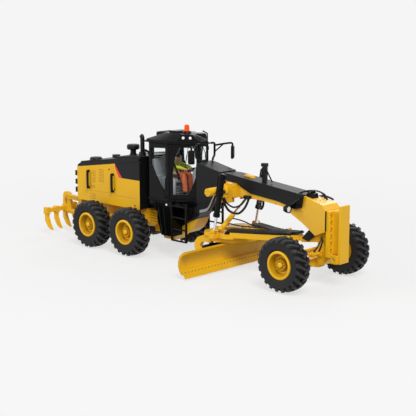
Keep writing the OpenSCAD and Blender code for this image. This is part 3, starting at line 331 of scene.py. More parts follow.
def makeGlass():
    mat, tree, skin = newMaterial("clearGlass")
    smear = noise(tree, 90.0, 3.0)
    tree.links.new(mapValue(tree, smear, 0.35, 0.7, 0.02, 0.07), skin.inputs["Roughness"])
    skin.inputs["Base Color"].default_value = (0.96, 0.98, 0.98, 1)
    skin.inputs["Transmission Weight"].default_value = 1.0
    skin.inputs["IOR"].default_value = 1.12
    path = tree.nodes.new("ShaderNodeLightPath")
    clear = tree.nodes.new("ShaderNodeBsdfTransparent")
    lit = math2(tree, "MAXIMUM", path.outputs["Is Shadow Ray"], path.outputs["Is Diffuse Ray"])
    mixShaders(tree, lit, skin, clear, tree.nodes["Material Output"].inputs["Surface"])
    return mat


# Yellow beam whose arch under the cab is black above a bent line
archSplit = {
    "lines": (((-67.5, 26.3), (-82.4, 20.1)), ((-82.4, 20.1), (-91.4, 15.2))),  # x and z in mm
    "frontX": -64.0,
    "dark": (0.022, 0.022, 0.024),
}


def makeArchPaint(cfg):
    mat, tree, skin = newMaterial("archPaint")
    bright = addFinish(tree, yellow, 0.07, (0.34, 0.46), 2600.0)
    dark = addFinish(tree, cfg["dark"], 0.2, (0.3, 0.42), 3400.0)
    masks = []
    for (x0, z0), (x1, z1) in cfg["lines"]:
        slope = (z1 - z0) / (x1 - x0)
        height = (z0 - slope * (x0 + axleX)) * mm
        masks.append(placeGroup(tree, lineGroup, Slope=slope, Height=height)["Mask"])
    behind = math2(tree, "LESS_THAN", objectAxes(tree)["X"], (cfg["frontX"] + axleX) * mm)
    mask = math2(tree, "MULTIPLY", math2(tree, "MAXIMUM", *masks), behind)
    tree.links.new(mixColor(tree, mask, bright["Color"], dark["Color"]), skin.inputs["Base Color"])
    tree.links.new(bright["Roughness"], skin.inputs["Roughness"])
    addRelief(tree, skin, bright["Height"], 0.05)
    skin.inputs["Coat Weight"].default_value = 0.12
    return mat


clearGlass = makeGlass()
archPaint = makeArchPaint(archSplit)
print("materials made")


def paint(material, *names):
    for name in names:
        slots = nodes[name].data.materials
        slots.clear()
        slots.append(material)


wheelNames = ("front_right", "front_left", "mid_right", "mid_left", "rear_right", "rear_left")
paint(archPaint, "main_frame")
paint(
    yellowPaint, "push_block", "front_axle", "knuckle_right", "knuckle_left", "tie_rod", "lift_saddle",
    "shift_barrel", "drawbar", "circle_drive", "turn_circle", "rear_frame", "hood", "tandems", "ripper_arms",
    "ripper_links", "ripper_beam",
)
# The rims get the darker yellow as painted shade of the dish; the lips on the hubs keep the bright yellow
paint(rimShadeYellow, *("rim_" + w for w in wheelNames))
paint(
    blackSatin, "neck_cover", "ball_boot", "mast", "hood_cover", "hood_trim", "exhaust", "precleaner",
)
paint(
    blackGloss, "cab_shell", "cab_doors", "cab_roof", "roof_unit", "mirrors", "ladders", "side_boxes",
    "headlamps", "lift_barrels", "side_shift_barrel", "ripper_barrel",
)
paint(bladeDarkYellow, "moldboard", "cutting_edge")
paint(hoseRubber, "drawbar_hoses", "frame_hoses")
paint(tyreRubber, *("tyre_" + w for w in wheelNames))
paint(chromeRod, "lift_rods", "shift_rod", "side_shift_rod", "ripper_rod")
paint(greyTrim, "cab_inside")
paint(greyCloth, "seat")
paint(figureLime, "operator_figure")
paint(beaconOrange, "beacon")
paint(clearGlass, "cab_glass")
print("nodes painted")


# Rounded edges on the cast and moulded pieces
edges = {
    "width": 0.16,
    "angle": 38.0,
    "names": (
        "main_frame", "neck_cover", "push_block", "front_axle", "lift_saddle", "cab_shell", "cab_doors",
        "roof_unit", "side_boxes", "hood", "hood_cover", "rear_frame", "tandems", "drawbar", "turn_circle",
        "moldboard", "ripper_beam", "ripper_arms", "ripper_links", "mast", "ladders",
    ),
}


def roundEdges(cfg):
    for name in cfg["names"]:
        weld = nodes[name].modifiers.new("weld", "WELD")
        weld.merge_threshold = 0.000002
        bevel = nodes[name].modifiers.new("edges", "BEVEL")
        bevel.width = cfg["width"] * mm
        bevel.segments = 2
        bevel.limit_method = "ANGLE"
        bevel.angle_limit = math.radians(cfg["angle"])
        bevel.harden_normals = False


roundEdges(edges)
print("edges rounded")


def at(x, y, z):
    return Vector((x + axleX, y, z)) * mm


# Local axes at a point: z along the given direction, sizes in mm
def stand(origin, zDir=(0, 0, 1), xDir=(1, 0, 0)):
    z = Vector(zDir).normalized()
    x = Vector(xDir)
    x = (x - z * x.dot(z)).normalized()
    turn = Matrix((x, z.cross(x), z)).transposed().to_4x4()
    return Matrix.Translation(at(*origin)) @ turn @ Matrix.Scale(mm, 4)


def mirrored(points, sign):
    return [Vector((x, sign * y, z)) for x, y, z in points]


# Row of a table at a station between its rows
def between(table, t):
    k = min(int(t), len(table) - 2)
    return tuple(a + (b - a) * (t - k) for a, b in zip(table[k], table[k + 1]))


def circleAngles(count):
    return [2 * math.pi * k / count for k in range(count)]


def finishMesh(name, bm, materials, body, sharp=32.0):
    bmesh.ops.recalc_face_normals(bm, faces=bm.faces[:])
    mesh = bpy.data.meshes.new(name)
    bm.to_mesh(mesh)
    bm.free()
    for mat in materials:
        mesh.materials.append(mat)
    mesh.polygons.foreach_set("use_smooth", [True] * len(mesh.polygons))
    mesh.set_sharp_from_angle(angle=math.radians(sharp))
    obj = bpy.data.objects.new(name, mesh)
    bpy.context.scene.collection.objects.link(obj)
    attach(obj, body)
    return obj


def addFace(bm, corners, slot):
    corners = list(dict.fromkeys(corners))
    if len(corners) > 2:
        bm.faces.new(corners).material_index = slot


# Rings of points joined in order; a ring of one point is a tip
def addRings(bm, rings, slot=0, closed=False, capped=False):
    loops = [[bm.verts.new(p) for p in ring] for ring in rings]
    pairs = list(zip(loops, loops[1:])) + ([(loops[-1], loops[0])] if closed else [])
    for a, b in pairs:
        count = max(len(a), len(b))
        for k in range(count):
            n = (k + 1) % count
            addFace(bm, [a[k % len(a)], a[n % len(a)], b[n % len(b)], b[k % len(b)]], slot)
    if capped:
        for loop in (loops[0], loops[-1]):
            addFace(bm, loop, slot)


# Turned part: pairs of radius and height along the local z axis
def addRevolve(bm, profile, where, segments=32, slot=0, closed=False):
    rings = []
    for r, h in profile:
        angles = circleAngles(segments) if r > 1e-6 else [0.0]
        rings.append([where @ Vector((r * math.cos(a), r * math.sin(a), h)) for a in angles])
    addRings(bm, rings, slot, closed)


def inset(outline, d):
    count = len(outline)
    ahead = outline[1:] + outline[:1]
    area = sum(x0 * y1 - x1 * y0 for (x0, y0), (x1, y1) in zip(outline, ahead))
    sign = 1 if area > 0 else -1
    out = []
    for i in range(count):
        p, q, r = Vector(outline[i - 1]), Vector(outline[i]), Vector(ahead[i])
        a, b = (q - p).normalized(), (r - q).normalized()
        na, nb = Vector((-a.y, a.x)) * sign, Vector((-b.y, b.x)) * sign
        m = na + nb
        out.append(tuple(q + m * (d / max(m.dot(na), 0.3))))
    return out


# Outlines in local x and y, each with its height
def addLevels(bm, levels, where, slot=0):
    addRings(bm, [[where @ Vector((x, y, h)) for x, y in line] for line, h in levels], slot, capped=True)


# Plate of any outline in local x and y, with small chamfers on both faces
def addPlate(bm, outline, low, high, where, chamfer=0.1, slot=0):
    small = inset(outline, chamfer)
    levels = ((small, low), (outline, low + chamfer), (outline, high - chamfer), (small, high))
    addLevels(bm, levels, where, slot)


# Plate of an outline in x and z between two values of y
def addSidePlate(bm, outline, y0, y1, chamfer=0.1, slot=0):
    low, high = sorted((y0, y1))
    addPlate(bm, outline, -high, -low, stand((0, 0, 0), (0, -1, 0)), chamfer, slot)


# Block between two opposite corners, in either order
def addBlock(bm, first, second, chamfer=0.12, slot=0):
    (x0, x1), (y0, y1), (z0, z1) = (sorted(pair) for pair in zip(first, second))
    box = [(x0, y0), (x1, y0), (x1, y1), (x0, y1)]
    addPlate(bm, box, z0, z1, stand((0, 0, 0)), chamfer, slot)


def roundedBox(w, h, r, steps=5):
    line = []
    x, y = w / 2 - r, h / 2 - r
    for cx, cy, start in ((x, y, 0), (-x, y, 90), (-x, -y, 180), (x, -y, 270)):
        for k in range(steps + 1):
            a = math.radians(start + 90 * k / steps)
            line.append((cx + r * math.cos(a), cy + r * math.sin(a)))
    return line


# Points on a smooth line through the given ones
def smoothLine(points, steps=6):
    pts = [Vector(p) for p in points]
    if len(pts) == 2:
        return pts
    pts = [2 * pts[0] - pts[1]] + pts + [2 * pts[-1] - pts[-2]]
    line = []
    for i in range(1, len(pts) - 2):
        p0, p1, p2, p3 = pts[i - 1 : i + 3]
        slope, curve, twist = p2 - p0, 2 * p0 - 5 * p1 + 4 * p2 - p3, 3 * p1 - p0 - 3 * p2 + p3
        for t in [k / steps for k in range(steps)]:
            line.append(0.5 * (2 * p1 + slope * t + curve * t * t + twist * t ** 3))
    return line + [pts[-2]]


# Round tube along a list of points, radius one value or a list along the way
def addTube(bm, points, radius, around=10, slot=0, steps=6):
    line = smoothLine(points, steps)
    radii = [(r,) for r in (radius if isinstance(radius, (list, tuple)) else (radius, radius))]
    side = None
    rings = []
    for i, p in enumerate(line):
        way = (line[min(i + 1, len(line) - 1)] - line[max(i - 1, 0)]).normalized()
        if side is None:
            side = way.orthogonal().normalized()
        side = (side - way * side.dot(way)).normalized()
        other = way.cross(side)
        r = between(radii, i / (len(line) - 1) * (len(radii) - 1))[0]
        turns = circleAngles(around)
        rings.append([at(*(p + (side * math.cos(a) + other * math.sin(a)) * r)) for a in turns])
    addRings(bm, rings, slot, capped=True)


# Hexagon head on a washer, standing on a surface
def addBolt(bm, origin, out, r=0.45):
    where = stand(origin, out, (0.3, 0.5, 0.7))
    addRevolve(bm, [(0, 0), (r * 1.5, 0), (r * 1.5, 0.12), (r * 1.35, 0.18), (0, 0.18)], where, 14)
    addRevolve(bm, [(r, 0.1), (r, 0.42), (r * 0.8, 0.52), (0, 0.54)], where, 6)


# The angled cab doors: the rear lower corner of each, and the turn of its plane
door = {"corner": (-91.0, 13.0), "turn": math.atan2(9.6, 15.0)}


def doorAxes(sign):
    c, s = math.cos(door["turn"]), math.sin(door["turn"])
    return Vector((c, -sign * s, 0)), Vector((s, sign * c, 0))


def doorPoint(sign, along, outward, z):
    way, out = doorAxes(sign)
    x, y = door["corner"]
    return Vector((x, sign * y, z)) + way * along + out * outward


def doorFrame(sign, inward):
    way, out = doorAxes(sign)
    return stand(doorPoint(sign, 0, -inward, 0), out, way)


# Plate of an outline along the door and in z
def addDoorPlate(bm, sign, outline, low, high, inward, chamfer):
    addPlate(bm, [(x, -sign * z) for x, z in outline], low, high, doorFrame(sign, inward), chamfer)


# Tyre: a turned carcass and bent lugs that run from the shoulder past the middle
tyre = {
    "radius": 13.5,
    "lugs": 21,
    "tops": [(0, 13.5), (1.4, 13.48), (2.6, 13.4), (3.6, 13.18), (4.25, 12.7), (4.56, 12.0), (4.6, 11.3)],
    "roots": [(0, 12.55), (1.4, 12.52), (2.6, 12.45), (3.5, 12.3), (4.05, 11.95), (4.4, 11.5), (4.5, 11.1)],
    "wall": [(7.0, 3.3), (7.35, 3.85), (7.9, 4.1), (8.1, 4.32), (8.5, 4.36), (9.6, 4.56), (10.6, 4.58),
             (10.75, 4.66), (10.95, 4.66), (11.1, 4.5)],
    "bead": [(6.9, -3.3), (6.9, 3.3), (7.0, 3.3)],
    "lug": [(6.0, -1.5, 1.95), (4.0, -1.0, 2.05), (2.6, -0.35, 1.9), (1.6, 0.4, 1.7), (0.6, 1.15, 1.5),
            (-0.3, 1.55, 1.3)],  # row of tops and roots, shift and width in mm
    "lugSteps": 3,
    "section": ((-0.62, 0.0), (-0.5, 0.78), (-0.4, 1.0), (0.4, 1.0), (0.5, 0.78), (0.62, 0.0)),
    "sink": 0.15,
    "segments": 96,
}


def addLug(bm, cfg, where, side, turn):
    rings = []
    steps = cfg["lugSteps"]
    for i in range(steps * (len(cfg["lug"]) - 1) + 1):
        t, shift, wide = between(cfg["lug"], i / steps)
        y, top = between(cfg["tops"], abs(t))
        yr, root = between(cfg["roots"], abs(t))
        low = root - cfg["sink"]
        flip = side if t >= 0 else -side
        ring = []
        for s, level in cfg["section"]:
            r = low + (top - low) * level
            a = turn + (shift + wide * s) / cfg["radius"]
            ring.append(where @ Vector((r * math.sin(a), (yr + (y - yr) * level) * flip, r * math.cos(a))))
        rings.append(ring)
    addRings(bm, rings, 2, capped=True)


def makeTyre(cfg, name, centre, outward):
    bm = bmesh.new()
    where = Matrix.Translation(at(*centre)) @ Matrix.Scale(mm, 4)
    turned = stand(centre, (0, outward, 0))
    half = cfg["wall"][-1:] + [(r, y) for y, r in reversed(cfg["roots"][:-1])]
    crown = half + [(r, -y) for r, y in reversed(half[:-1])]
    inner = [(r, -y) for r, y in reversed(cfg["wall"])] + cfg["bead"]
    # The crown between the lugs takes the dark groove rubber (slot 1), painted shade
    for profile, slot in ((cfg["wall"], 0), (crown, 1), (inner, 0)):
        addRevolve(bm, profile, turned, cfg["segments"], slot)
    pitch = 2 * math.pi / cfg["lugs"]
    for k in range(cfg["lugs"]):
        addLug(bm, cfg, where, outward, k * pitch)
        addLug(bm, cfg, where, -outward, (k + 0.5) * pitch)
    return finishMesh("tread_" + name, bm, [tyreRubber, grooveShadeRubber, lugRubber], "wheel_" + name, 28)


# Rim lip, step ring, wheel nuts, hub cap, plugs and valve
wheelTrim = {
    "lip": [(5.72, 3.2), (5.7, 4.0), (5.85, 4.28), (6.2, 4.36), (6.6, 4.3), (6.9, 4.1), (7.06, 3.75),
            (7.04, 3.4), (6.6, 3.3)],
    "step": [(4.4, 0.98), (4.4, 1.12), (4.3, 1.2), (3.6, 1.2), (3.5, 1.1), (3.5, 0.98)],
    "cap": [(1.62, 2.1), (1.62, 2.5), (1.3, 3.0), (1.22, 3.3), (0.95, 3.52), (0.4, 3.6), (0, 3.6)],
    "nut": [(0.405, -0.05), (0.405, 0.1), (0.3, 0.14), (0.3, 0.42), (0.2, 0.5), (0, 0.52)],
    "nuts": (10, 2.22, 2.2),  # count, radius of their circle, height
    "plug": [(0.42, 0), (0.42, 0.12), (0.3, 0.2), (0, 0.2)],
    "plugs": (5, 4.75, 0.98),
    "valve": [(0.22, 0), (0.22, 1.0), (0.3, 1.05), (0.3, 1.5), (0, 1.55)],
    "valveAt": (5.3, 0, 1.2),
}


def makeWheelTrim(cfg, name, centre, outward):
    bm = bmesh.new()
    where = stand(centre, (0, outward, 0))
    addRevolve(bm, cfg["lip"], where, 72, closed=True)
    addRevolve(bm, cfg["step"], where, 48)
    addRevolve(bm, cfg["cap"], where, 32)
    for key, row, start, segments in (("nut", "nuts", 0.5, 6), ("plug", "plugs", 0, 12)):
        count, ring, height = cfg[row]
        for k in range(count):
            a = 2 * math.pi * (k + start) / count
            spot = where @ Matrix.Translation((ring * math.cos(a), ring * math.sin(a), height))
            addRevolve(bm, cfg[key], spot, segments)
    addRevolve(bm, cfg["valve"], where @ Matrix.Translation(cfg["valveAt"]), 10)
    finishMesh("hub_" + name, bm, [yellowPaint], "wheel_" + name, 30)


wheelCentres = {
    "front_right": (0, -24.3, 13.5), "front_left": (0, 24.3, 13.5),
    "mid_right": (-110.85, -23.75, 13.5), "mid_left": (-110.85, 23.75, 13.5),
    "rear_right": (-142.95, -23.75, 13.5), "rear_left": (-142.95, 23.75, 13.5),
}
for name in wheelNames:
    centre = wheelCentres[name]
    outward = 1 if centre[1] > 0 else -1
    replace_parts(makeTyre(tyre, name, centre, outward), "tyre_" + name)
    makeWheelTrim(wheelTrim, name, centre, outward)
print("wheels done")


# Blade: bolt row on the cutting edge, wear plates at the ends
blade = {
    "bolts": 35,
    "pitch": 2.4,
    "rowAt": (-49.86, 3.62),
    "boltOut": (0.826, 0, 0.564),
    "bolt": [(0.36, -0.02), (0.36, 0.04), (0.3, 0.1), (0.18, 0.16), (0, 0.18)],
    "length": 84.6,
    "endPlate": 3.4,
    "centre": (-46.3, 7.75),  # of the blade's curve
    "r": 6.4,
    "arc": (112, 222),
    "arcSteps": 24,
    "plateDepths": (0.02, 0.28),
}


def makeBladeTrim(cfg):
    bm = bmesh.new()
    x, z = cfg["rowAt"]
    for k in range(cfg["bolts"]):
        y = (k - (cfg["bolts"] - 1) / 2) * cfg["pitch"]
        addRevolve(bm, cfg["bolt"], stand((x, y, z), cfg["boltOut"], (0, 1, 0)), 10)
    # The bolt heads are dark brown: painted shade of their recesses
    finishMesh("edgeBolts", bm, [edgeShade], "blade")
    bm = bmesh.new()
    cx, cz = cfg["centre"]
    start, end = cfg["arc"]
    low, high = cfg["plateDepths"]
    for side in sideNames:
        y1 = side * (cfg["length"] / 2 + 0.02)
        y0 = side * (cfg["length"] / 2 - cfg["endPlate"])
        rings = []
        for k in range(cfg["arcSteps"] + 1):
            a = math.radians(start + (end - start) * k / cfg["arcSteps"])
            ring = []
            for depth, y in ((low, y0), (high, y0 + side * 0.12), (high, y1), (low, y1)):
                q = cfg["r"] - depth
                ring.append(at(cx + q * math.cos(a), y, cz + q * math.sin(a)))
            rings.append(ring)
        addRings(bm, rings, capped=True)
    finishMesh("endPlates", bm, [bladeDarkYellow], "blade")


makeBladeTrim(blade)
print("blade trim done")


# Black band with a red stripe on the hood sides
hoodBand = {
    "stripe": [(-130.95, 46.6), (-127.6, 41.0), (-124.9, 41.0), (-130.95, 48.2)],
    "black": [(-130.95, 48.42), (-130.95, 48.2), (-124.9, 41.0), (-110.45, 41.0), (-110.45, 51.28),
              (-112.15, 51.28), (-131.0, 48.66)],
    "topEdge": [(-110.38, 51.1), (-110.38, 51.38), (-112.15, 51.38), (-131.0, 48.78), (-131.0, 48.5),
                (-112.1, 51.1)],
    "frontEdge": ((-110.42, 24.5), (-110.33, 51.34)),
    "y": 16.0,
    "thick": 0.07,
    "chamfer": 0.03,
}


def makeHoodBand(cfg):
    top, chamfer = cfg["y"] + cfg["thick"], cfg["chamfer"]
    (x0, z0), (x1, z1) = cfg["frontEdge"]
    for sign, label in sideNames.items():
        bm = bmesh.new()
        for slot, key, depth in ((0, "black", 0.02), (1, "stripe", 0.02), (0, "topEdge", 0.5)):
            addSidePlate(bm, cfg[key], sign * (cfg["y"] - depth), sign * top, chamfer, slot)
        addBlock(bm, (x0, sign * (cfg["y"] - 1.58), z0), (x1, sign * (cfg["y"] + 0.05), z1), chamfer)
        finishMesh("hoodBand_" + label, bm, [blackSatin, stripeRed], "rear_frame")


makeHoodBand(hoodBand)
print("hood band done")


# Lenses of the head lamps, roof lamps and rear lamps
lamps = {
    "head": {"at": (-9.86, 9.0, 36.9), "r": 1.52},
    "roof": {"along": (8.6, 12.5), "inward": 0.3, "z": 66.25, "r": 0.78},
    "rear": {"x": -166.42, "y": 14.6, "z": (30.1, 34.9, 40.0), "r": 1.08},
    "profile": [(1, -0.25), (1, 0.02), (0.86, 0.1), (0.8, 0.06), (0.55, 0.14), (0.25, 0.2), (0, 0.22)],
    "ray": ((0.3, 0), (0.74, -0.09), (0.74, 0.09)),  # share of the radius and turn of each corner
    "rays": 12,
}


def addLens(bm, where, r, slot=0):
    addRevolve(bm, [(r * q, h) for q, h in lamps["profile"]], where, 28, slot)
    for a in circleAngles(lamps["rays"]):
        tip = []
        for q, d in lamps["ray"]:
            p = Vector((r * q * math.cos(a + d), r * q * math.sin(a + d), 0.13 - 0.06 * q))
            tip.append(bm.verts.new(where @ p))
        addFace(bm, tip, slot)


def makeLamps(cfg):
    head, roof, rear = cfg["head"], cfg["roof"], cfg["rear"]
    for sign, label in sideNames.items():
        bm = bmesh.new()
        addLens(bm, stand(*mirrored([head["at"]], sign), (1, 0, 0), (0, 1, 0)), head["r"])
        finishMesh("headLens_" + label, bm, [lensClear], "front_frame")
        bm = bmesh.new()
        for along in roof["along"]:
            spot = doorPoint(sign, along, -roof["inward"], roof["z"])
            addLens(bm, stand(spot, doorAxes(sign)[1], (0, 0, 1)), roof["r"])
        finishMesh("roofLens_" + label, bm, [lensClear], "front_frame")
        bm = bmesh.new()
        for slot, z in enumerate(rear["z"]):
            addLens(bm, stand((rear["x"], sign * rear["y"], z), (-1, 0, 0), (0, 1, 0)), rear["r"], slot)
        finishMesh("rearLens_" + label, bm, [lensClear, lensAmber, lensRed], "rear_frame")


makeLamps(lamps)
print("lamps done")


# Mirrors on bent tubes, with their glass
mirrorForm = {
    "post": [(-74.85, 5.6, 53.8), (-74.85, 5.6, 54.8), (-75.1, 6.9, 56.2), (-75.15, 7.2, 57.4),
             (-75.15, 7.2, 61.9), (-75.17, 6.9, 63.0), (-75.25, 5.9, 63.3), (-75.25, 4.6, 63.25)],
    "arm": [(-75.15, 7.2, 61.85), (-72.0, 12.6, 62.6), (-70.4, 15.3, 62.8), (-70.0, 16.0, 62.1),
            (-70.0, 16.0, 60.9)],
    "brace": [(-75.15, 7.2, 58.25), (-72.6, 11.6, 62.4)],
    "radius": {"post": 0.6, "arm": 0.54, "brace": 0.38},
    "at": (-70.0, 16.0, 57.7),
    "turn": math.radians(30.0),
    "size": (3.6, 7.4, 1.0),  # width, height and corner radius
    "glass": (3.0, 6.7, 0.8),
    "glassAt": (0.48, 0.6),
    "levels": ((0.85, -1.05), (0.4, -0.85), (0.0, -0.3), (0.0, 0.4), (0.15, 0.5)),  # inset and height
}


def mirrorFrame(cfg, sign):
    back = (-math.cos(cfg["turn"]), -sign * math.sin(cfg["turn"]), 0)
    return stand(*mirrored([cfg["at"]], sign), back, (0, 1, 0))


def makeMirrorGlass(cfg):
    for sign, label in sideNames.items():
        bm = bmesh.new()
        addPlate(bm, roundedBox(*cfg["glass"]), *cfg["glassAt"], mirrorFrame(cfg, sign), 0.04)
        finishMesh("mirrorGlass_" + label, bm, [mirrorGlass], "front_frame")


def makeMirrors(cfg):
    bm = bmesh.new()
    shell = roundedBox(*cfg["size"])
    for sign in sideNames:
        for key, r in cfg["radius"].items():
            addTube(bm, mirrored(cfg[key], sign), r)
        addLevels(bm, [(inset(shell, d), h) for d, h in cfg["levels"]], mirrorFrame(cfg, sign))
    return finishMesh("mirrorForm", bm, [blackGloss], "front_frame", 35)


makeMirrorGlass(mirrorForm)


# Pipes beside the lift cylinders, the cap on their heads and the gland rings
liftTrim = {
    "pin": (-49.0, 16.5, 41.5),
    "eye": (-53.0, 20.8),
    "pipe": ((8.6, 1.2), (8.5, 2.05), (7.8, 2.35), (3, 2.35), (-0.6, 2.35), (-1.5, 1.7)),  # along and behind
    "pipeR": 0.34,
    "capAt": 9.6,
    "cap": [(1.35, -0.1), (1.35, 0.25), (1.1, 0.5), (0.5, 0.62), (0, 0.62)],
    "bandsAt": (3.6, -6.4),
    "band": [(1.48, -0.35), (1.66, -0.28), (1.66, 0.28), (1.48, 0.35)],
    "bossOut": 1.9,
    "boss": [(1.25, -0.8), (1.25, 0.3), (1.05, 0.5), (0.6, 0.5), (0.5, 0.62), (0, 0.64)],
}


def makeLiftTrim(cfg):
    x, _, z = cfg["pin"]
    way = Vector((x - cfg["eye"][0], 0, z - cfg["eye"][1])).normalized()
    back = Vector((-way.z, 0, way.x))
    bm = bmesh.new()
    for sign in sideNames:
        pin = mirrored([cfg["pin"]], sign)[0]
        addTube(bm, [pin + way * a + back * b for a, b in cfg["pipe"]], cfg["pipeR"], 8)
        addRevolve(bm, cfg["cap"], stand(pin + way * cfg["capAt"], way, (0, 1, 0)), 24)
        for h in cfg["bandsAt"]:
            addRevolve(bm, cfg["band"], stand(pin + way * h, way, (0, 1, 0)), 24)
        out = Vector((0, sign, 0))
        addRevolve(bm, cfg["boss"], stand(pin + out * cfg["bossOut"], out), 24)
    finishMesh("liftPipes", bm, [blackGloss], "lift_barrels")


makeLiftTrim(liftTrim)


# Moulded hoses: loops from the neck to the lift cylinders, lines on the drawbar, hoses at the head
hoses = {
    "loops": (
        (0.62, [(-39.2, 5.4, 38.6), (-39.2, 6.2, 36.4), (-40.4, 7.6, 33.0), (-43.2, 9.2, 30.4),
                (-47.0, 11.4, 31.6), (-48.6, 13.2, 35.2), (-48.4, 14.4, 38.6)]),
        (0.465, [(-41.0, 5.4, 38.6), (-41.2, 6.6, 36.8), (-42.6, 8.2, 34.6), (-45.2, 10.2, 33.6),
                 (-47.4, 12.4, 35.4), (-48.2, 14.0, 37.8)]),
    ),
    "collar": 1.3,  # its radius as a share of the hose's
    "block": ((-42.0, 4.56, 38.0), (-38.0, 6.3, 39.7)),
    "lines": (
        [(-60.4, 2.4, 20.2), (-60.2, 2.2, 22.6), (-57.6, 2.0, 24.3), (-53.0, 1.6, 24.5), (-47.0, 0.6, 24.2),
         (-41.0, -1.2, 23.7), (-34.0, -2.6, 23.6)],
        [(-58.0, -4.6, 20.0), (-57.4, -4.4, 21.6), (-54.0, -4.0, 22.9), (-48.0, -3.6, 22.6),
         (-42.0, -3.4, 22.9), (-34.0, -3.4, 23.5)],
    ),
    "lineR": 0.36,
    "leg": [(-12.4, -2.6, 23.3), (-15.6, -3.6, 23.5), (-20.0, -5.4, 23.2), (-27.0, -7.3, 22.7),
            (-35.0, -9.0, 22.2), (-43.0, -10.7, 21.7), (-46.8, -11.3, 21.2), (-48.6, -11.4, 19.6)],
    "legR": 0.68,
    "legCount": 4,
    "legStep": 1.12,
    "legLift": 0.3,  # of every second hose
    "head": (
        (0.42, [(-9.4, -3.2, 43.9), (-6.6, -2.8, 45.0), (-3.6, -1.2, 45.9), (-0.4, 1.4, 45.8),
                (2.6, 3.2, 44.2), (4.0, 3.8, 41.6)]),
        (0.36, [(-8.8, 2.6, 44.1), (-6.0, 2.4, 45.0), (-2.8, 2.8, 45.6), (0.4, 3.8, 44.6), (2.4, 4.6, 41.8)]),
        (0.5, [(-2.0, 4.8, 42.6), (0.6, 5.8, 42.9), (3.2, 6.6, 42.3), (5.2, 7.2, 41.4)]),
    ),
    "lampLead": [(-5.4, 5.8, 42.2), (-7.4, 6.0, 40.9), (-9.6, 6.4, 39.3), (-10.8, 7.4, 38.4)],
    "leadR": 0.4,
}


def makeNeckHoses(cfg):
    bm = bmesh.new()
    for sign in sideNames:
        for r, points in cfg["loops"]:
            path = mirrored(points, sign)
            addTube(bm, path, r, 12)
            for end, ahead in ((path[0], path[1]), (path[-1], path[-2])):
                addTube(bm, [end, end.lerp(ahead, 0.4)], r * cfg["collar"], 8)
        addBlock(bm, *mirrored(cfg["block"], sign), 0.2)
    return finishMesh("neckHoses", bm, [hoseRubber], "front_frame")


def makeDrawbarLines(cfg):
    bm = bmesh.new()
    for path in cfg["lines"]:
        addTube(bm, path, cfg["lineR"], 8)
    for k in range(cfg["legCount"]):
        side = (k - (cfg["legCount"] - 1) / 2) * cfg["legStep"]
        shift = Vector((-0.2 * side, side, cfg["legLift"] * (k % 2)))
        addTube(bm, [Vector(p) + shift for p in cfg["leg"]], cfg["legR"])
    finishMesh("drawbarLines", bm, [hoseRubber], "drawbar")


def makeHeadHoses(cfg):
    bm = bmesh.new()
    for r, path in cfg["head"]:
        addTube(bm, path, r, 8)
    for sign in sideNames:
        addTube(bm, mirrored(cfg["lampLead"], sign), cfg["leadR"], 8)
    finishMesh("headHoses", bm, [hoseRubber], "front_frame")


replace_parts(makeNeckHoses(hoses), "frame_hoses")
makeDrawbarLines(hoses)
makeHeadHoses(hoses)
print("hoses done")


# Steering wheel, column and levers in the cab
steering = {
    "at": (-84.6, 0.0, 48.2),
    "r": 3.0,
    "rimR": 0.3,
    "tilt": math.radians(28.0),
    "hub": [(0.0, -0.5), (0.8, -0.5), (0.8, 0.1), (0.5, 0.3), (0, 0.3)],
    "levers": (-3.6, -5.0, 3.6, 5.0),
    "lever": [(-88.6, 1.35, 44.0), (-88.2, 1.3, 46.0), (-87.8, 1.22, 47.4)],  # y times each lever's own
    "knobAt": (-87.75, 1.21, 47.5),
    "knob": [(0, -0.3), (0.34, -0.2), (0.46, 0.2), (0.34, 0.6), (0, 0.72)],
}


def makeSteering(cfg):
    bm = bmesh.new()
    up = Vector((-math.sin(cfg["tilt"]), 0, math.cos(cfg["tilt"])))
    wheelAt, across = Vector(cfg["at"]), Vector((0, 1, 0))
    along = up.cross(across)
    hub = stand(wheelAt, up, across)
    rim = [(cfg["r"] + cfg["rimR"] * math.cos(t), cfg["rimR"] * math.sin(t)) for t in circleAngles(8)]
    addRevolve(bm, rim, hub, 36, closed=True)
    addRevolve(bm, cfg["hub"], hub, 16)
    for turn in (90, 210, 330):
        t = math.radians(turn)
        addTube(bm, [wheelAt, wheelAt + (across * math.sin(t) + along * math.cos(t)) * cfg["r"]], 0.24, 6)
    addTube(bm, [wheelAt - up * 0.3, wheelAt - up * 4.0, wheelAt - up * 6.0 + Vector((1.6, 0, 0))], 0.55, 8)
    for y in cfg["levers"]:
        addTube(bm, mirrored(cfg["lever"], y), 0.2, 6)
        addRevolve(bm, cfg["knob"], stand(*mirrored([cfg["knobAt"]], y), (0.2, 0, 1)), 10)
    finishMesh("steeringWheel", bm, [blackSatin], "front_frame")


# Wiper, hinges and lock on each door, and the wiper on the screen; places along the door, outward and up
wipers = {
    "arm": ((11.6, 0.25, 61.4), (11.0, 0.5, 58.4), (10.2, 0.42, 54.2)),
    "leaf": ((10.9, 0.3, 57.4), (10.4, 0.3, 54.6), (9.8, 0.3, 50.8)),
    "bossAt": (11.6, 0.05, 61.5),
    "boss": [(0.55, -0.1), (0.55, 0.3), (0.35, 0.5), (0, 0.5)],
    "hinges": (36.4, 48.6, 60.4),
    "lock": ((2.4, 0.1, 43.0), (2.4, 0.35, 43.0)),
    "screen": [(-75.8, 0.6, 55.2), (-75.6, 0.2, 58.4), (-75.7, -1.2, 61.2)],
}


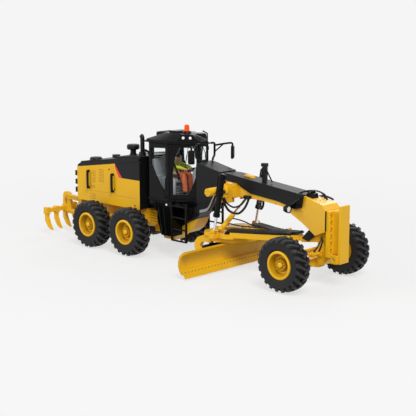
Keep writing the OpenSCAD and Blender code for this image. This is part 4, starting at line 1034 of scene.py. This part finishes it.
def makeWipers(cfg):
    bm = bmesh.new()
    for sign in sideNames:
        for key, r, around in (("arm", 0.17, 6), ("leaf", 0.2, 6), ("lock", 0.5, 10)):
            addTube(bm, [doorPoint(sign, *p) for p in cfg[key]], r, around)
        addRevolve(bm, cfg["boss"], stand(doorPoint(sign, *cfg["bossAt"]), doorAxes(sign)[1], (0, 0, 1)), 12)
        for z in cfg["hinges"]:
            addTube(bm, [doorPoint(sign, 16.6, 0.12, z + d) for d in (-0.9, 0.9)], 0.42, 8)
    addTube(bm, cfg["screen"], 0.18, 6)
    finishMesh("wipers", bm, [blackSatin], "front_frame")


makeSteering(steering)
makeWipers(wipers)


# Moulded operator seat
seatForm = {
    "floor": 32.25,
    "cushion": 40.25,
    "baseX": -96.5,
    "padX": -96.3,
    "pad": [(0, 3.3), (0.35, 3.9), (1.5, 4.1), (2.1, 3.8), (2.4, 3.0)],  # height and radius
    "folds": 7,
    "backSteps": 12,
    "rest": [(0, 0.5, 1.6), (0.4, 0.85, 2.0), (2.0, 0.85, 2.1), (2.6, 0.7, 1.9), (2.9, 0.4, 1.4)],
    "post": [(-98.6, 4.5, 1.0), (-98.4, 4.9, 3.6), (-97.6, 5.0, 5.2)],  # z above the cushion's foot
    "arm": [(-98.4, 5.05, 5.6), (-95.4, 5.1, 5.75), (-92.2, 5.05, 5.6)],
    "grip": [(-92.4, 5.05, 5.9), (-92.2, 5.05, 7.4), (-92.5, 5.05, 8.4)],
    "tubes": (("post", 0.55, 8, 1), ("arm", 0.72, 10, 0), ("grip", (0.4, 0.52), 8, 1)),  # radius, sides, slot
}


# Ring between a circle and a box in plan
def superRing(cx, cy, z, rx, ry, power=3.4, count=24):
    ring = []
    for t in circleAngles(count):
        c, s = math.cos(t), math.sin(t)
        k = (abs(c) ** power + abs(s) ** power) ** (-1 / power)
        ring.append(at(cx + rx * k * c, cy + ry * k * s, z))
    return ring


def makeSeat(cfg):
    bm = bmesh.new()
    floor, top, baseX, padX = cfg["floor"], cfg["cushion"], cfg["baseX"], cfg["padX"]
    rings = [superRing(baseX, 0, floor, 2.6, 2.6)]
    for k in range(cfg["folds"]):
        r = 2.7 if k % 2 else 2.15
        rings.append(superRing(baseX, 0, floor + 1.2 + k * 0.8, r, r))
    rings.append(superRing(baseX, 0, top + 0.2, 3.2, 3.0))
    addRings(bm, rings, 1, capped=True)
    pad = [superRing(padX, 0, top + h, r, r * 0.98) for h, r in cfg["pad"]]
    addRings(bm, pad + [[at(padX, 0, top + 2.35)]])
    back = []
    for k in range(cfg["backSteps"] + 1):
        f = k / cfg["backSteps"]
        end = f in (0, 1)
        wide = (3.9 - 0.9 * f ** 3 + 0.12 * math.cos(f * 5 * math.pi)) * (0.9 if end else 1.0)
        deep = (1.05 - 0.25 * f) * (0.55 if end else 1.0)
        back.append(superRing(-100.2 - 1.3 * f, 0, top + 2.2 + f * 10.2, deep, wide))
    addRings(bm, back, capped=True)
    rest = [superRing(-101.6 - 0.06 * h, 0, top + 12.5 + h, d, w) for h, d, w in cfg["rest"]]
    addRings(bm, rest, capped=True)
    for sign in sideNames:
        for key, radius, around, slot in cfg["tubes"]:
            path = [p + Vector((0, 0, top)) for p in mirrored(cfg[key], sign)]
            addTube(bm, path, radius, around, slot)
    return finishMesh("seatForm", bm, [greyCloth, greyDark], "front_frame", 40)


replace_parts(makeSeat(seatForm), "seat")


# Moulded figure at the controls, with a plain face; places from its hips, heights of the face from the head
figure = {
    "hips": (-96.6, 0.0, 42.7),
    "head": 11.3,
    "torso": [(0.2, 1.5, 2.1), (0.6, 1.75, 2.4), (2.6, 1.6, 2.2), (5.4, 1.7, 2.5), (7.6, 1.55, 2.7),
              (8.5, 1.2, 2.2), (9.0, 0.7, 1.0)],  # height, depth and width
    "waist": [(0.1, 1.85, 2.5), (0.9, 1.82, 2.46), (1.3, 1.72, 2.32)],
    "bands": (3.2, 5.2),
    "bandSize": (1.76, 2.47, 0.5),
    "skullSteps": 10,
    "nose": [(1.5, 0.3, 0.02), (1.95, 0.34, -0.25), (1.85, 0.36, -0.5), (1.45, 0.3, -0.55)],
    "noseCorners": ((-1, 0), (0, 0.12), (1, 0), (0, -0.12)),
    "eye": [(0.2, -0.1), (0.16, 0.04), (0, 0.08)],
    "ear": [(0.36, -0.1), (0.36, 0.12), (0.2, 0.2), (0, 0.14)],
    "cap": [(0.35, 1.62, 1.42), (0.5, 1.68, 1.48), (1.2, 1.52, 1.34), (1.75, 1.05, 0.95), (2.05, 0.3, 0.3)],
    "brim": [(1.5, 1.1), (2.3, 0.9), (2.7, 0.0), (2.3, -0.9), (1.5, -1.1)],
    "arm": [(-0.2, 2.3, 8.0), (2.4, 3.5, 6.6), (5.4, 3.3, 6.3), (8.6, 2.5, 5.6)],
    "armR": [1.15, 1.05, 0.95, 0.65],
    "hand": [(8.4, 2.52, 5.65), (9.6, 2.4, 5.6), (10.2, 2.3, 5.2)],
    "handR": [0.55, 0.62, 0.3],
    "leg": [(0.2, 1.3, 1.5), (3.6, 2.0, 2.3), (6.4, 2.4, 2.2), (7.6, 2.45, -0.4), (8.4, 2.5, -6.6)],
    "legR": [1.6, 1.65, 1.65, 1.55, 1.4],
    "boot": [(-7.4, 0.9, 0.7, 0.6), (-8.4, 1.1, 0.9, 0.8), (-9.2, 1.9, 1.0, 1.5), (-10.2, 2.1, 1.05, 1.6)],
    "belt": [(1.6, -2.3, 8.2), (2.2, -1.2, 6.0), (2.1, 0.4, 3.6), (1.9, 1.9, 1.6)],
}


def addFigureBody(bm, cfg):
    x, _, z = cfg["hips"]
    addRings(bm, [superRing(x - h / 30, 0, z + h, d, w, 2.4) for h, d, w in cfg["torso"]], capped=True)
    addRings(bm, [superRing(x - 0.25, 0, z + h, d, w, 2.4) for h, d, w in cfg["waist"]], 1, capped=True)
    deep, wide, high = cfg["bandSize"]
    for h in cfg["bands"]:
        addRings(bm, [superRing(x - h / 30, 0, z + h + d, deep, wide, 2.4) for d in (0, high)], 4)
    addRings(bm, [superRing(x + 0.1, 0, z + h, 0.8, 0.8, 2.0) for h in (8.4, 10.2)], 2)


def addFigureHead(bm, cfg):
    x, _, z = cfg["hips"]
    head = z + cfg["head"]
    skull = []
    for k in range(cfg["skullSteps"] + 1):
        t = -1 + 2 * k / cfg["skullSteps"]
        r = math.sqrt(max(1 - t * t, 0.02))
        skull.append(superRing(x + 0.25 + 0.1 * (1 - t), 0, head + 1.9 * t, 1.5 * r, 1.3 * r, 2.2))
    addRings(bm, skull, 2, capped=True)
    nose = [[at(x + 0.3 + d, w * s, head + h + o) for s, o in cfg["noseCorners"]] for d, w, h in cfg["nose"]]
    addRings(bm, nose, 2, capped=True)
    for sign in sideNames:
        eye = stand((x + 1.62, sign * 0.5, head + 0.15), (1, sign * 0.3, 0), (0, 1, 0))
        addRevolve(bm, cfg["eye"], eye, 10, 3)
        addRevolve(bm, cfg["ear"], stand((x + 0.15, sign * 1.28, head - 0.1), (0, sign, 0)), 10, 2)
    addRings(bm, [superRing(x + 0.25, 0, head + h, d, w, 2.2) for h, d, w in cfg["cap"]], 3, capped=True)
    addPlate(bm, [(x + u, v) for u, v in cfg["brim"]], head + 0.4, head + 0.62, stand((0, 0, 0)), 0.05, 3)


def makeFigure(cfg):
    bm = bmesh.new()
    hips = Vector(cfg["hips"])
    addFigureBody(bm, cfg)
    addFigureHead(bm, cfg)
    for sign in sideNames:
        for key, slot in (("arm", 0), ("hand", 2), ("leg", 1)):
            addTube(bm, [hips + p for p in mirrored(cfg[key], sign)], cfg[key + "R"], 12, slot, 5)
        boot = [superRing(hips.x + 8.0 + o, sign * 2.5, hips.z + h, d, w, 2.6) for h, d, w, o in cfg["boot"]]
        addRings(bm, boot, 3, capped=True)
    addTube(bm, [hips + Vector(p) for p in cfg["belt"]], 0.3, 6, 3)
    materials = [figureLime, figureOrange, figureSkin, blackSatin, greyTrim]
    return finishMesh("figureForm", bm, materials, "front_frame", 50)


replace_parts(makeFigure(figure), "operator_figure")
print("cab inside done")


# Grey consoles, rear trim and floor mat in the cab, and a slanted bar inside each door
cabinTrim = {
    "floor": 32.25,
    "dash": [(-78.2, 32.25), (-78.2, 49.4), (-79.0, 50.5), (-80.4, 50.3), (-82.7, 46.8), (-81.9, 43.0),
             (-82.9, 32.25)],
    "console": [(-101, 32.25), (-101, 42.9), (-100.3, 43.5), (-94.2, 44.4), (-91.1, 43.3), (-90.6, 42.5),
                (-91.4, 32.25)],
    "consoleY": (6.4, 8.4),
    "tray": [(-99.6, 41.6), (-94.2, 42.4), (-92.4, 41.8), (-92.8, 37.0), (-99.6, 37.0)],
    "rearTop": 53.4,
    "shelfTop": 44.4,
    "panels": 3,
    "panelPitch": 3.4,
    "matRibs": 7,
    "ribPitch": 1.3,
    "bar": ((0.6, -0.9, 58.8), (3.2, -0.9, 52.4), (5.8, -0.9, 45.8)),  # along the door, outward and up
}


def makeCabinTrim(cfg):
    z = cfg["floor"]
    bm = bmesh.new()
    addSidePlate(bm, cfg["dash"], -2.8, 2.8, 0.4)
    addBlock(bm, (-105.3, -10.8, z), (-104.1, 10.8, cfg["rearTop"]), 0.4)
    addBlock(bm, (-104.2, -8.5, z), (-102.6, 8.5, cfg["shelfTop"]), 0.5)
    for k in range(cfg["panels"]):
        foot = z + 2.4 + cfg["panelPitch"] * k
        addBlock(bm, (-102.7, -7.6, foot), (-102.35, 7.6, foot + 2.4), 0.15)
    y0, y1 = cfg["consoleY"]
    for sign in sideNames:
        addSidePlate(bm, cfg["console"], sign * y0, sign * y1, 0.35)
        addSidePlate(bm, cfg["tray"], sign * (y1 - 0.1), sign * (y1 + 0.25), 0.12)
        addBlock(bm, (-84.6, sign * 3.0, z), (-82.6, sign * 5.4, z + 1.6), 0.3, 1)
    addBlock(bm, (-102.4, -6.2, z - 0.03), (-83.4, 6.2, z + 0.12), 0.04, 1)
    for k in range(cfg["matRibs"]):
        x = -93.2 + cfg["ribPitch"] * k
        addBlock(bm, (x, -5.6, z + 0.1), (x + 0.5, 5.6, z + 0.24), 0.03, 1)
    return finishMesh("cabinTrim", bm, [greyTrim, greyDark], "front_frame", 35)


def makeDoorBars(cfg):
    bm = bmesh.new()
    for sign in sideNames:
        bar = [doorPoint(sign, *p) for p in cfg["bar"]]
        addTube(bm, bar, 0.55)
        foot = bar[-1]
        addTube(bm, [foot, foot + Vector((0.1, 0, -1.2)), foot + Vector((0.2, 0, -2.8))], (0.55, 0.4))
    finishMesh("doorBars", bm, [blackGloss], "front_frame")


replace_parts(makeCabinTrim(cabinTrim), "cab_inside")
makeDoorBars(cabinTrim)


# Steering cylinders and their hoses in front of the axle
axleTrim = {
    "from": (5.0, 3.0, 16.2),
    "to": (4.6, 9.6, 16.6),
    "r": 1.15,
    "rodR": 0.5,
    "block": ((3.4, 2.7, 14.6), (6.4, 4.1, 17.8)),
    "ringIn": 1.4,  # from each end of the barrel
    "port": (0.6, 0, 0.9),
    "hoses": (
        [(6.6, 4.6, 19.0), (6.8, 3.6, 21.6), (6.6, 2.9, 23.2)],
        [(6.2, 7.0, 19.4), (6.6, 4.9, 22.4), (6.4, 3.2, 24.4)],
    ),
}


def makeAxleTrim(cfg):
    bm = bmesh.new()
    r, rod = cfg["r"], cfg["rodR"]
    for sign in sideNames:
        a, b = mirrored((cfg["from"], cfg["to"]), sign)
        way, long = (b - a).normalized(), (b - a).length
        barrel = [(0, 0), (r * 0.9, 0), (r, 0.3), (r, long - 0.9), (r * 1.15, long - 0.8), (r * 1.15, long),
                  (rod, long + 0.1), (rod, long + 1.9), (0, long + 1.9)]
        addRevolve(bm, barrel, stand(a, way, (0, 0, 1)), 24)
        addBlock(bm, *mirrored(cfg["block"], sign), 0.3)
        for end, step, hose in zip((a, b), (way, -way), cfg["hoses"]):
            spot = end + step * cfg["ringIn"]
            ring = [(r, -0.35), (r + 0.2, -0.28), (r + 0.2, 0.28), (r, 0.35)]
            addRevolve(bm, ring, stand(spot, way, (0, 0, 1)), 24)
            addTube(bm, [spot + Vector(cfg["port"]), *mirrored(hose, sign)], 0.4, 8, 1)
    finishMesh("axleTrim", bm, [yellowPaint, hoseRubber], "front_frame")


makeAxleTrim(axleTrim)


# Cab roof: rim, sloping crown, rear box and a lamp housing over each door
roofForm = {
    "rimZ": (62.85, 63.65),
    "plan": [(-109.9, 12.6), (-109.1, 13.6), (-90.7, 13.9), (-75.1, 3.9)],  # one side, mirrored for the other
    "base": [(-109.0, 11.7), (-108.2, 12.6), (-91.0, 12.85), (-76.0, 3.2)],
    "top": [(-99.4, 7.2), (-98.6, 8.0), (-90.0, 8.0), (-82.6, 2.8)],
    "topZ": 68.2,
    "box": ((-107.9, -5.2, 63.4), (-99.5, 5.2, 68.0)),
    "slots": (-3.4, -1.2, 1.0, 3.2),
    "housing": [(4.0, 63.5), (16.4, 63.5), (14.7, 67.4), (13.9, 68.05), (7.4, 68.05), (6.4, 67.4)],
    "housingIn": 0.35,
    "bezel": [(1.15, -0.1), (1.15, 0.12), (1.02, 0.22), (0.86, 0.16), (0.84, -0.05)],
}


def wholePlan(half):
    return half + [(x, -y) for x, y in reversed(half)]


def makeRoof(cfg):
    bm = bmesh.new()
    where = stand((0, 0, 0))
    z0, z1 = cfg["rimZ"]
    z2 = cfg["topZ"]
    addPlate(bm, wholePlan(cfg["plan"]), z0, z1, where, 0.2)
    base, top = wholePlan(cfg["base"]), wholePlan(cfg["top"])
    crown = [(base, z1 - 0.2), (base, z1 + 0.5), (inset(base, 0.35), z1 + 0.9)]
    crown += [(top, z2 - 0.3), (inset(top, 0.5), z2)]
    addLevels(bm, crown, where)
    addBlock(bm, *cfg["box"], 0.55)
    for y in cfg["slots"]:
        addBlock(bm, (-106.6, y - 0.5, 67.9), (-101.0, y + 0.5, 68.15), 0.1)
    for sign in sideNames:
        addDoorPlate(bm, sign, cfg["housing"], -6.0, 0.0, cfg["housingIn"], 0.3)
        for x in lamps["roof"]["along"]:
            spot = Matrix.Translation((x, -sign * lamps["roof"]["z"], 0))
            addRevolve(bm, cfg["bezel"], doorFrame(sign, cfg["housingIn"]) @ spot, 24)
    return finishMesh("roofForm", bm, [blackGloss], "front_frame", 30)


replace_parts(makeRoof(roofForm), "cab_roof")
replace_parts(makeMirrors(mirrorForm), "mirrors")


# Head lamps in round shells on side brackets, and the cap on the head
headlampForm = {
    "at": (-12.2, 9.0, 36.9),
    "shell": [(0, -0.5), (0.9, -0.42), (1.5, 0.0), (1.85, 0.9), (1.9, 1.6), (1.98, 2.3), (1.98, 2.7),
              (1.85, 2.8), (1.62, 2.75), (1.56, 2.3), (0, 2.25)],
    "bracket": [(-3.4, 44), (-4.6, 37.8), (-8.6, 36.7), (-11.8, 36.8), (-11.6, 38.3), (-9.6, 38.9),
                (-6.8, 42.4)],
    "bracketY": (5.05, 5.75),
    "stem": [(-10.9, 5.4, 37.5), (-10.9, 7.8, 37.4)],
    "bolts": ((-9.2, 37.9), (-7.2, 39.6)),
    "cap": [(-3.9, 43.45), (-3.6, 44.7), (-2.4, 45.1), (-0.4, 44.6), (0.2, 42.7)],
    "capY": (-3.3, 2.2),
    "studs": (-2.4, -0.6, 1.2),
}


def makeHeadlamps(cfg):
    bm = bmesh.new()
    addSidePlate(bm, cfg["cap"], *cfg["capY"], 0.35)
    for y in cfg["studs"]:
        addTube(bm, [(-2.2, y, 44.7), (-2.0, y, 45.6)], (0.62, 0.5), 8)
    low, high = cfg["bracketY"]
    for sign in sideNames:
        addSidePlate(bm, cfg["bracket"], sign * low, sign * high, 0.16)
        addTube(bm, mirrored(cfg["stem"], sign), 0.6)
        addRevolve(bm, cfg["shell"], stand(*mirrored([cfg["at"]], sign), (1, 0, 0), (0, 1, 0)), 28)
        for x, z in cfg["bolts"]:
            addBolt(bm, (x, sign * high, z), (0, sign, 0), 0.34)
    return finishMesh("headlampForm", bm, [blackGloss], "front_frame", 35)


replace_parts(makeHeadlamps(headlampForm), "headlamps")


# Hose bundle along the left leg of the drawbar
hoseBundle = {
    "start": (-10.6, 0.0, 23.75),
    "fall": 0.062,
    "run": 10.6,
    "bendR": 10.0,
    "bend": math.radians(24.0),
    "tail": 25.0,
    "r": 0.6,
    "step": 1.14,
    "count": 5,
    "waver": (-0.1, 0.22),
    "clamps": ((-10.6, 3.1), (-20.4, 3.15)),  # x and half width
}


def makeHoseBundle(cfg):
    rng = random.Random(14)
    bm = bmesh.new()
    x0, y0, z0 = cfg["start"]
    run, bend = cfg["run"], cfg["bend"]
    for k in range(cfg["count"]):
        side = (k - (cfg["count"] - 1) / 2) * cfg["step"]
        path = [(-run * t, side) for t in (0, 0.35, 0.7, 1.0)]
        r = cfg["bendR"] - side
        for t in (0.5, 1.0):
            path.append((-run - r * math.sin(bend * t), cfg["bendR"] - r * math.cos(bend * t)))
        bx, by = path[-1]
        for t in (0.33, 0.66, 1.0):
            path.append((bx - cfg["tail"] * t * math.cos(bend), by + cfg["tail"] * t * math.sin(bend)))
        line = [Vector((x0 + x, y0 + y, z0 + cfg["fall"] * x + rng.uniform(*cfg["waver"]))) for x, y in path]
        addTube(bm, line, cfg["r"], steps=5)
        addTube(bm, [line[0], line[0].lerp(line[1], -0.4)], cfg["r"] * 0.8, 8)
    for x, wide in cfg["clamps"]:
        z = z0 + cfg["fall"] * (x - x0)
        addBlock(bm, (x - 0.5, -wide, z - 0.66), (x + 0.5, wide, z + 0.78), 0.2)
    return finishMesh("hoseBundle", bm, [hoseRubber], "drawbar")


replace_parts(makeHoseBundle(hoseBundle), "drawbar_hoses")
print("roof, mirrors, head lamps and hose bundle done")


# Sills under the cab, grab rails, and ribs and boxes below it
cabSill = {
    "sillZ": (31.2, 32.3),
    "sillX": (-106.3, -91.0),
    "sillY": (12.9, 13.45),
    "doorSill": (0.1, 17.4),
    "ribs": (((-99.3, 29.6), (-95.9, 13.2)), ((-95.4, 30.2), (-93.0, 13.0))),
    "ribY": 12.62,
    "bolts": ((-104.0, 30.0), (-99.0, 30.3), (-94.0, 30.3)),
    "boltY": 12.6,
    "box": [(-105.4, 30.6), (-105.4, 29.0), (-101.6, 26.4), (-100.6, 26.4), (-100.6, 30.6)],
    "boxY": (12.5, 13.1),
    "rail": [(-91.6, 13.4, 33.4), (-91.5, 14.2, 33.8), (-91.2, 14.3, 38.0), (-91.2, 14.3, 44.0),
             (-91.3, 13.2, 44.6)],
}


def makeCabSill(cfg):
    bm = bmesh.new()
    (x0, x1), (y0, y1), (z0, z1) = cfg["sillX"], cfg["sillY"], cfg["sillZ"]
    a, b = cfg["doorSill"]
    for sign in sideNames:
        addBlock(bm, (x0, sign * y0, z0), (x1, sign * y1, z1), 0.2)
        addDoorPlate(bm, sign, [(a, z0), (b, z0), (b, z1), (a, z1)], -0.1, 0.55, 0.1, 0.2)
        for rib in cfg["ribs"]:
            addTube(bm, [(x, sign * cfg["ribY"], z) for x, z in rib], 0.38, 8)
        for x, z in cfg["bolts"]:
            addBolt(bm, (x, sign * cfg["boltY"], z), (0, sign, 0), 0.4)
        addSidePlate(bm, cfg["box"], *(sign * y for y in cfg["boxY"]), 0.2)
        addTube(bm, mirrored(cfg["rail"], sign), 0.36, 8)
    finishMesh("cabSill", bm, [blackGloss], "front_frame")


makeCabSill(cabSill)


# Pale skirt strip at the lower edge of the housing ahead of the cab, its grey a painted highlight of the
# glossy black edge
houseSheenStrip = {
    "line": [(-73.4, 0, 26.2), (-67.4, 0, 28.5), (-63.4, 0, 35.1), (-60.0, 0, 41.0)],
    "section": ((6.1, 0.3), (6.32, 0.2), (6.36, 1.6), (6.1, 1.8)),  # y, and z above the line
}


def makeHouseSheenStrip(cfg):
    bm = bmesh.new()
    for sign in sideNames:
        line = smoothLine(cfg["line"], 4)
        addRings(bm, [[at(p.x, sign * y, p.z + h) for y, h in cfg["section"]] for p in line], capped=True)
    finishMesh("houseSheenStrip", bm, [skirtSheenGrey], "front_frame")


makeHouseSheenStrip(houseSheenStrip)


# Shadow strips in the hood's louvres and joints, grips on its handles, rails and bolts on its lid
hoodTrim = {
    "front": -112.1,  # the x values below count from here
    "y": 16.0,
    "louvres": [  # x, z, width and slots
        (-39.1, 36.1, 2.9, 8), (-33.6, 36.7, 4.8, 9), (-40.4, 26.1, 3.9, 4), (-40.3, 32.7, 3.6, 2),
    ],
    "pitch": 0.9,
    "slot": 0.4,
    "upright": [(-41.5, 25.4, 45.0), (-22.2, 32.0, 47.4), (-20.4, 25.2, 47.8)],
    "level": [(-40.4, -22.2, 31.0), (-18.6, -0.8, 30.3)],
    "joint": 0.2,
    "handles": (-42.0, -20.6),
    "grip": [(0.05, 32.7), (1.0, 32.58), (1.3, 33.1), (1.3, 41.9), (1.0, 42.42), (0.05, 42.3)],  # out and z
    "sideBolts": ((-43.6, 33.6), (-43.6, 40.2), (-19.2, 34.0), (-24.0, 45.0), (-2.2, 26.6)),
    "rails": (
        (0.85, [(-1.2, 12.6, 53.3), (-4.0, 12.6, 53.6), (-16.0, 12.6, 52.3), (-18.2, 12.6, 51.2)]),
        (0.7, [(-22.0, 12.4, 49.6), (-30.0, 12.4, 48.7), (-46.0, 12.4, 46.5), (-50.0, 12.2, 45.6)]),
    ),
    "lidBolts": ((-44.0, 46.85), (-38.0, 47.65), (-28.0, 48.85), (-14.0, 52.45), (-6.0, 53.45)),
    "pipe": [(-8.2, -4.6, 56.6), (-6.5, -4.0, 56.4), (-4.7, -3.0, 55.4), (-4.1, -2.8, 53.6)],
}


def makeHoodShade(cfg):
    f = cfg["front"]
    bm = bmesh.new()
    strips = []
    for x, z, wide, count in cfg["louvres"]:
        feet = [z + k * cfg["pitch"] for k in range(count)]
        strips += [(x, foot, x + wide, foot + cfg["slot"]) for foot in feet]
    strips += [(x, z0, x + cfg["joint"], z1) for x, z0, z1 in cfg["upright"]]
    strips += [(x0, z, x1, z + cfg["joint"]) for x0, x1, z in cfg["level"]]
    for sign in sideNames:
        y0, y1 = sign * (cfg["y"] - 0.25), sign * (cfg["y"] - 0.16)
        for x0, z0, x1, z1 in strips:
            addBlock(bm, (f + x0, y0, z0), (f + x1, y1, z1), 0.01)
    finishMesh("hoodShade", bm, [hoodShade], "rear_frame")


def makeHoodGrips(cfg):
    f, y = cfg["front"], cfg["y"]
    ahead = Vector((f, 0, 0))
    bm = bmesh.new()
    for sign in sideNames:
        for x in cfg["handles"]:
            addTube(bm, [(f + x, sign * (y + d), z) for d, z in cfg["grip"]], 0.72)
        for x, z in cfg["sideBolts"]:
            addBolt(bm, (f + x, sign * y, z), (0, sign, 0), 0.26)
        for r, points in cfg["rails"]:
            addTube(bm, [p + ahead for p in mirrored(points, sign)], r)
        for x, z in cfg["lidBolts"]:
            addBolt(bm, (f + x, sign * 9.4, z), (0, 0, 1), 0.5)
    addTube(bm, [Vector(p) + ahead for p in cfg["pipe"]], 0.7)
    finishMesh("hoodGrips", bm, [blackSatin], "rear_frame")


makeHoodShade(hoodTrim)
makeHoodGrips(hoodTrim)


# Painted shade: dark sheets at the backs of the bolster slots and in the gap behind the bolster
noseShadow = {
    "slot": ((11.32, 3.08, -0.02), (11.52, 4.12, 2.42)),  # z from the slot's foot
    "feet": [17.0 + 3.5 * k for k in range(6)],
    "gap": ((10.12, 5.3, 28.2), (10.42, 6.06, 38.0)),
}


def makeNoseShadow(cfg):
    bm = bmesh.new()
    for sign in sideNames:
        for z in cfg["feet"]:
            addBlock(bm, *(p + Vector((0, 0, z)) for p in mirrored(cfg["slot"], sign)), 0.02)
        addBlock(bm, *mirrored(cfg["gap"], sign), 0.03)
    finishMesh("noseShade", bm, [blackSatin], "front_frame")


makeNoseShadow(noseShadow)
print("sills, skirt, hood and nose trim done")


# Small hardware: bolts, plain strips and reflectors
hardware = {
    # y and size of the bolts, then their x and z
    "neck": (4.5, 0.34, ((-7.9, 36.7), (-5.0, 36.4), (-12.6, 36.6), (-22.0, 38.0), (-31.0, 38.8))),
    "saddleEnd": (20.0, 0.24, ((-55.7, 42.3), (-53.3, 42.3), (-55.7, 40.5), (-53.3, 40.5))),
    "saddle": (6.6, 0.36, ((-57.6, 38.4), (-57.6, 43.8), (-48.6, 38.4), (-48.6, 43.8))),
    "bolster": (12.4, 4.9),
    "bolsterZ": (17.4, 21.4, 25.4, 29.4, 33.4, 36.8),
    "strip": (-52.35, 5.0, 44.85),
    "stripSize": (3.1, 0.7, 0.15, 3),
    "lens": (-92.6, 12.6, 29.3),
    "lensForm": [(0.62, -0.02), (0.62, 0.12), (0.4, 0.24), (0, 0.28)],
}


def makeHardware(cfg):
    bm = bmesh.new()
    bx, by = cfg["bolster"]
    for sign in sideNames:
        for key in ("neck", "saddleEnd", "saddle"):
            y, size, places = cfg[key]
            for x, z in places:
                addBolt(bm, (x, sign * y, z), (0, sign, 0), size)
        for z in cfg["bolsterZ"]:
            addBolt(bm, (bx, sign * by, z), (1, 0, 0), 0.26)
    finishMesh("frameBolts", bm, [yellowPaint], "front_frame")
    bm = bmesh.new()
    for sign in sideNames:
        strip, lens = (stand(p, (0, sign, 0)) for p in mirrored((cfg["strip"], cfg["lens"]), sign))
        addPlate(bm, roundedBox(*cfg["stripSize"]), -0.02, 0.06, strip, 0.03)
        addRevolve(bm, cfg["lensForm"], lens, 16)
    finishMesh("paleStrips", bm, [labelWhite], "front_frame")


makeHardware(hardware)
print("hardware done")
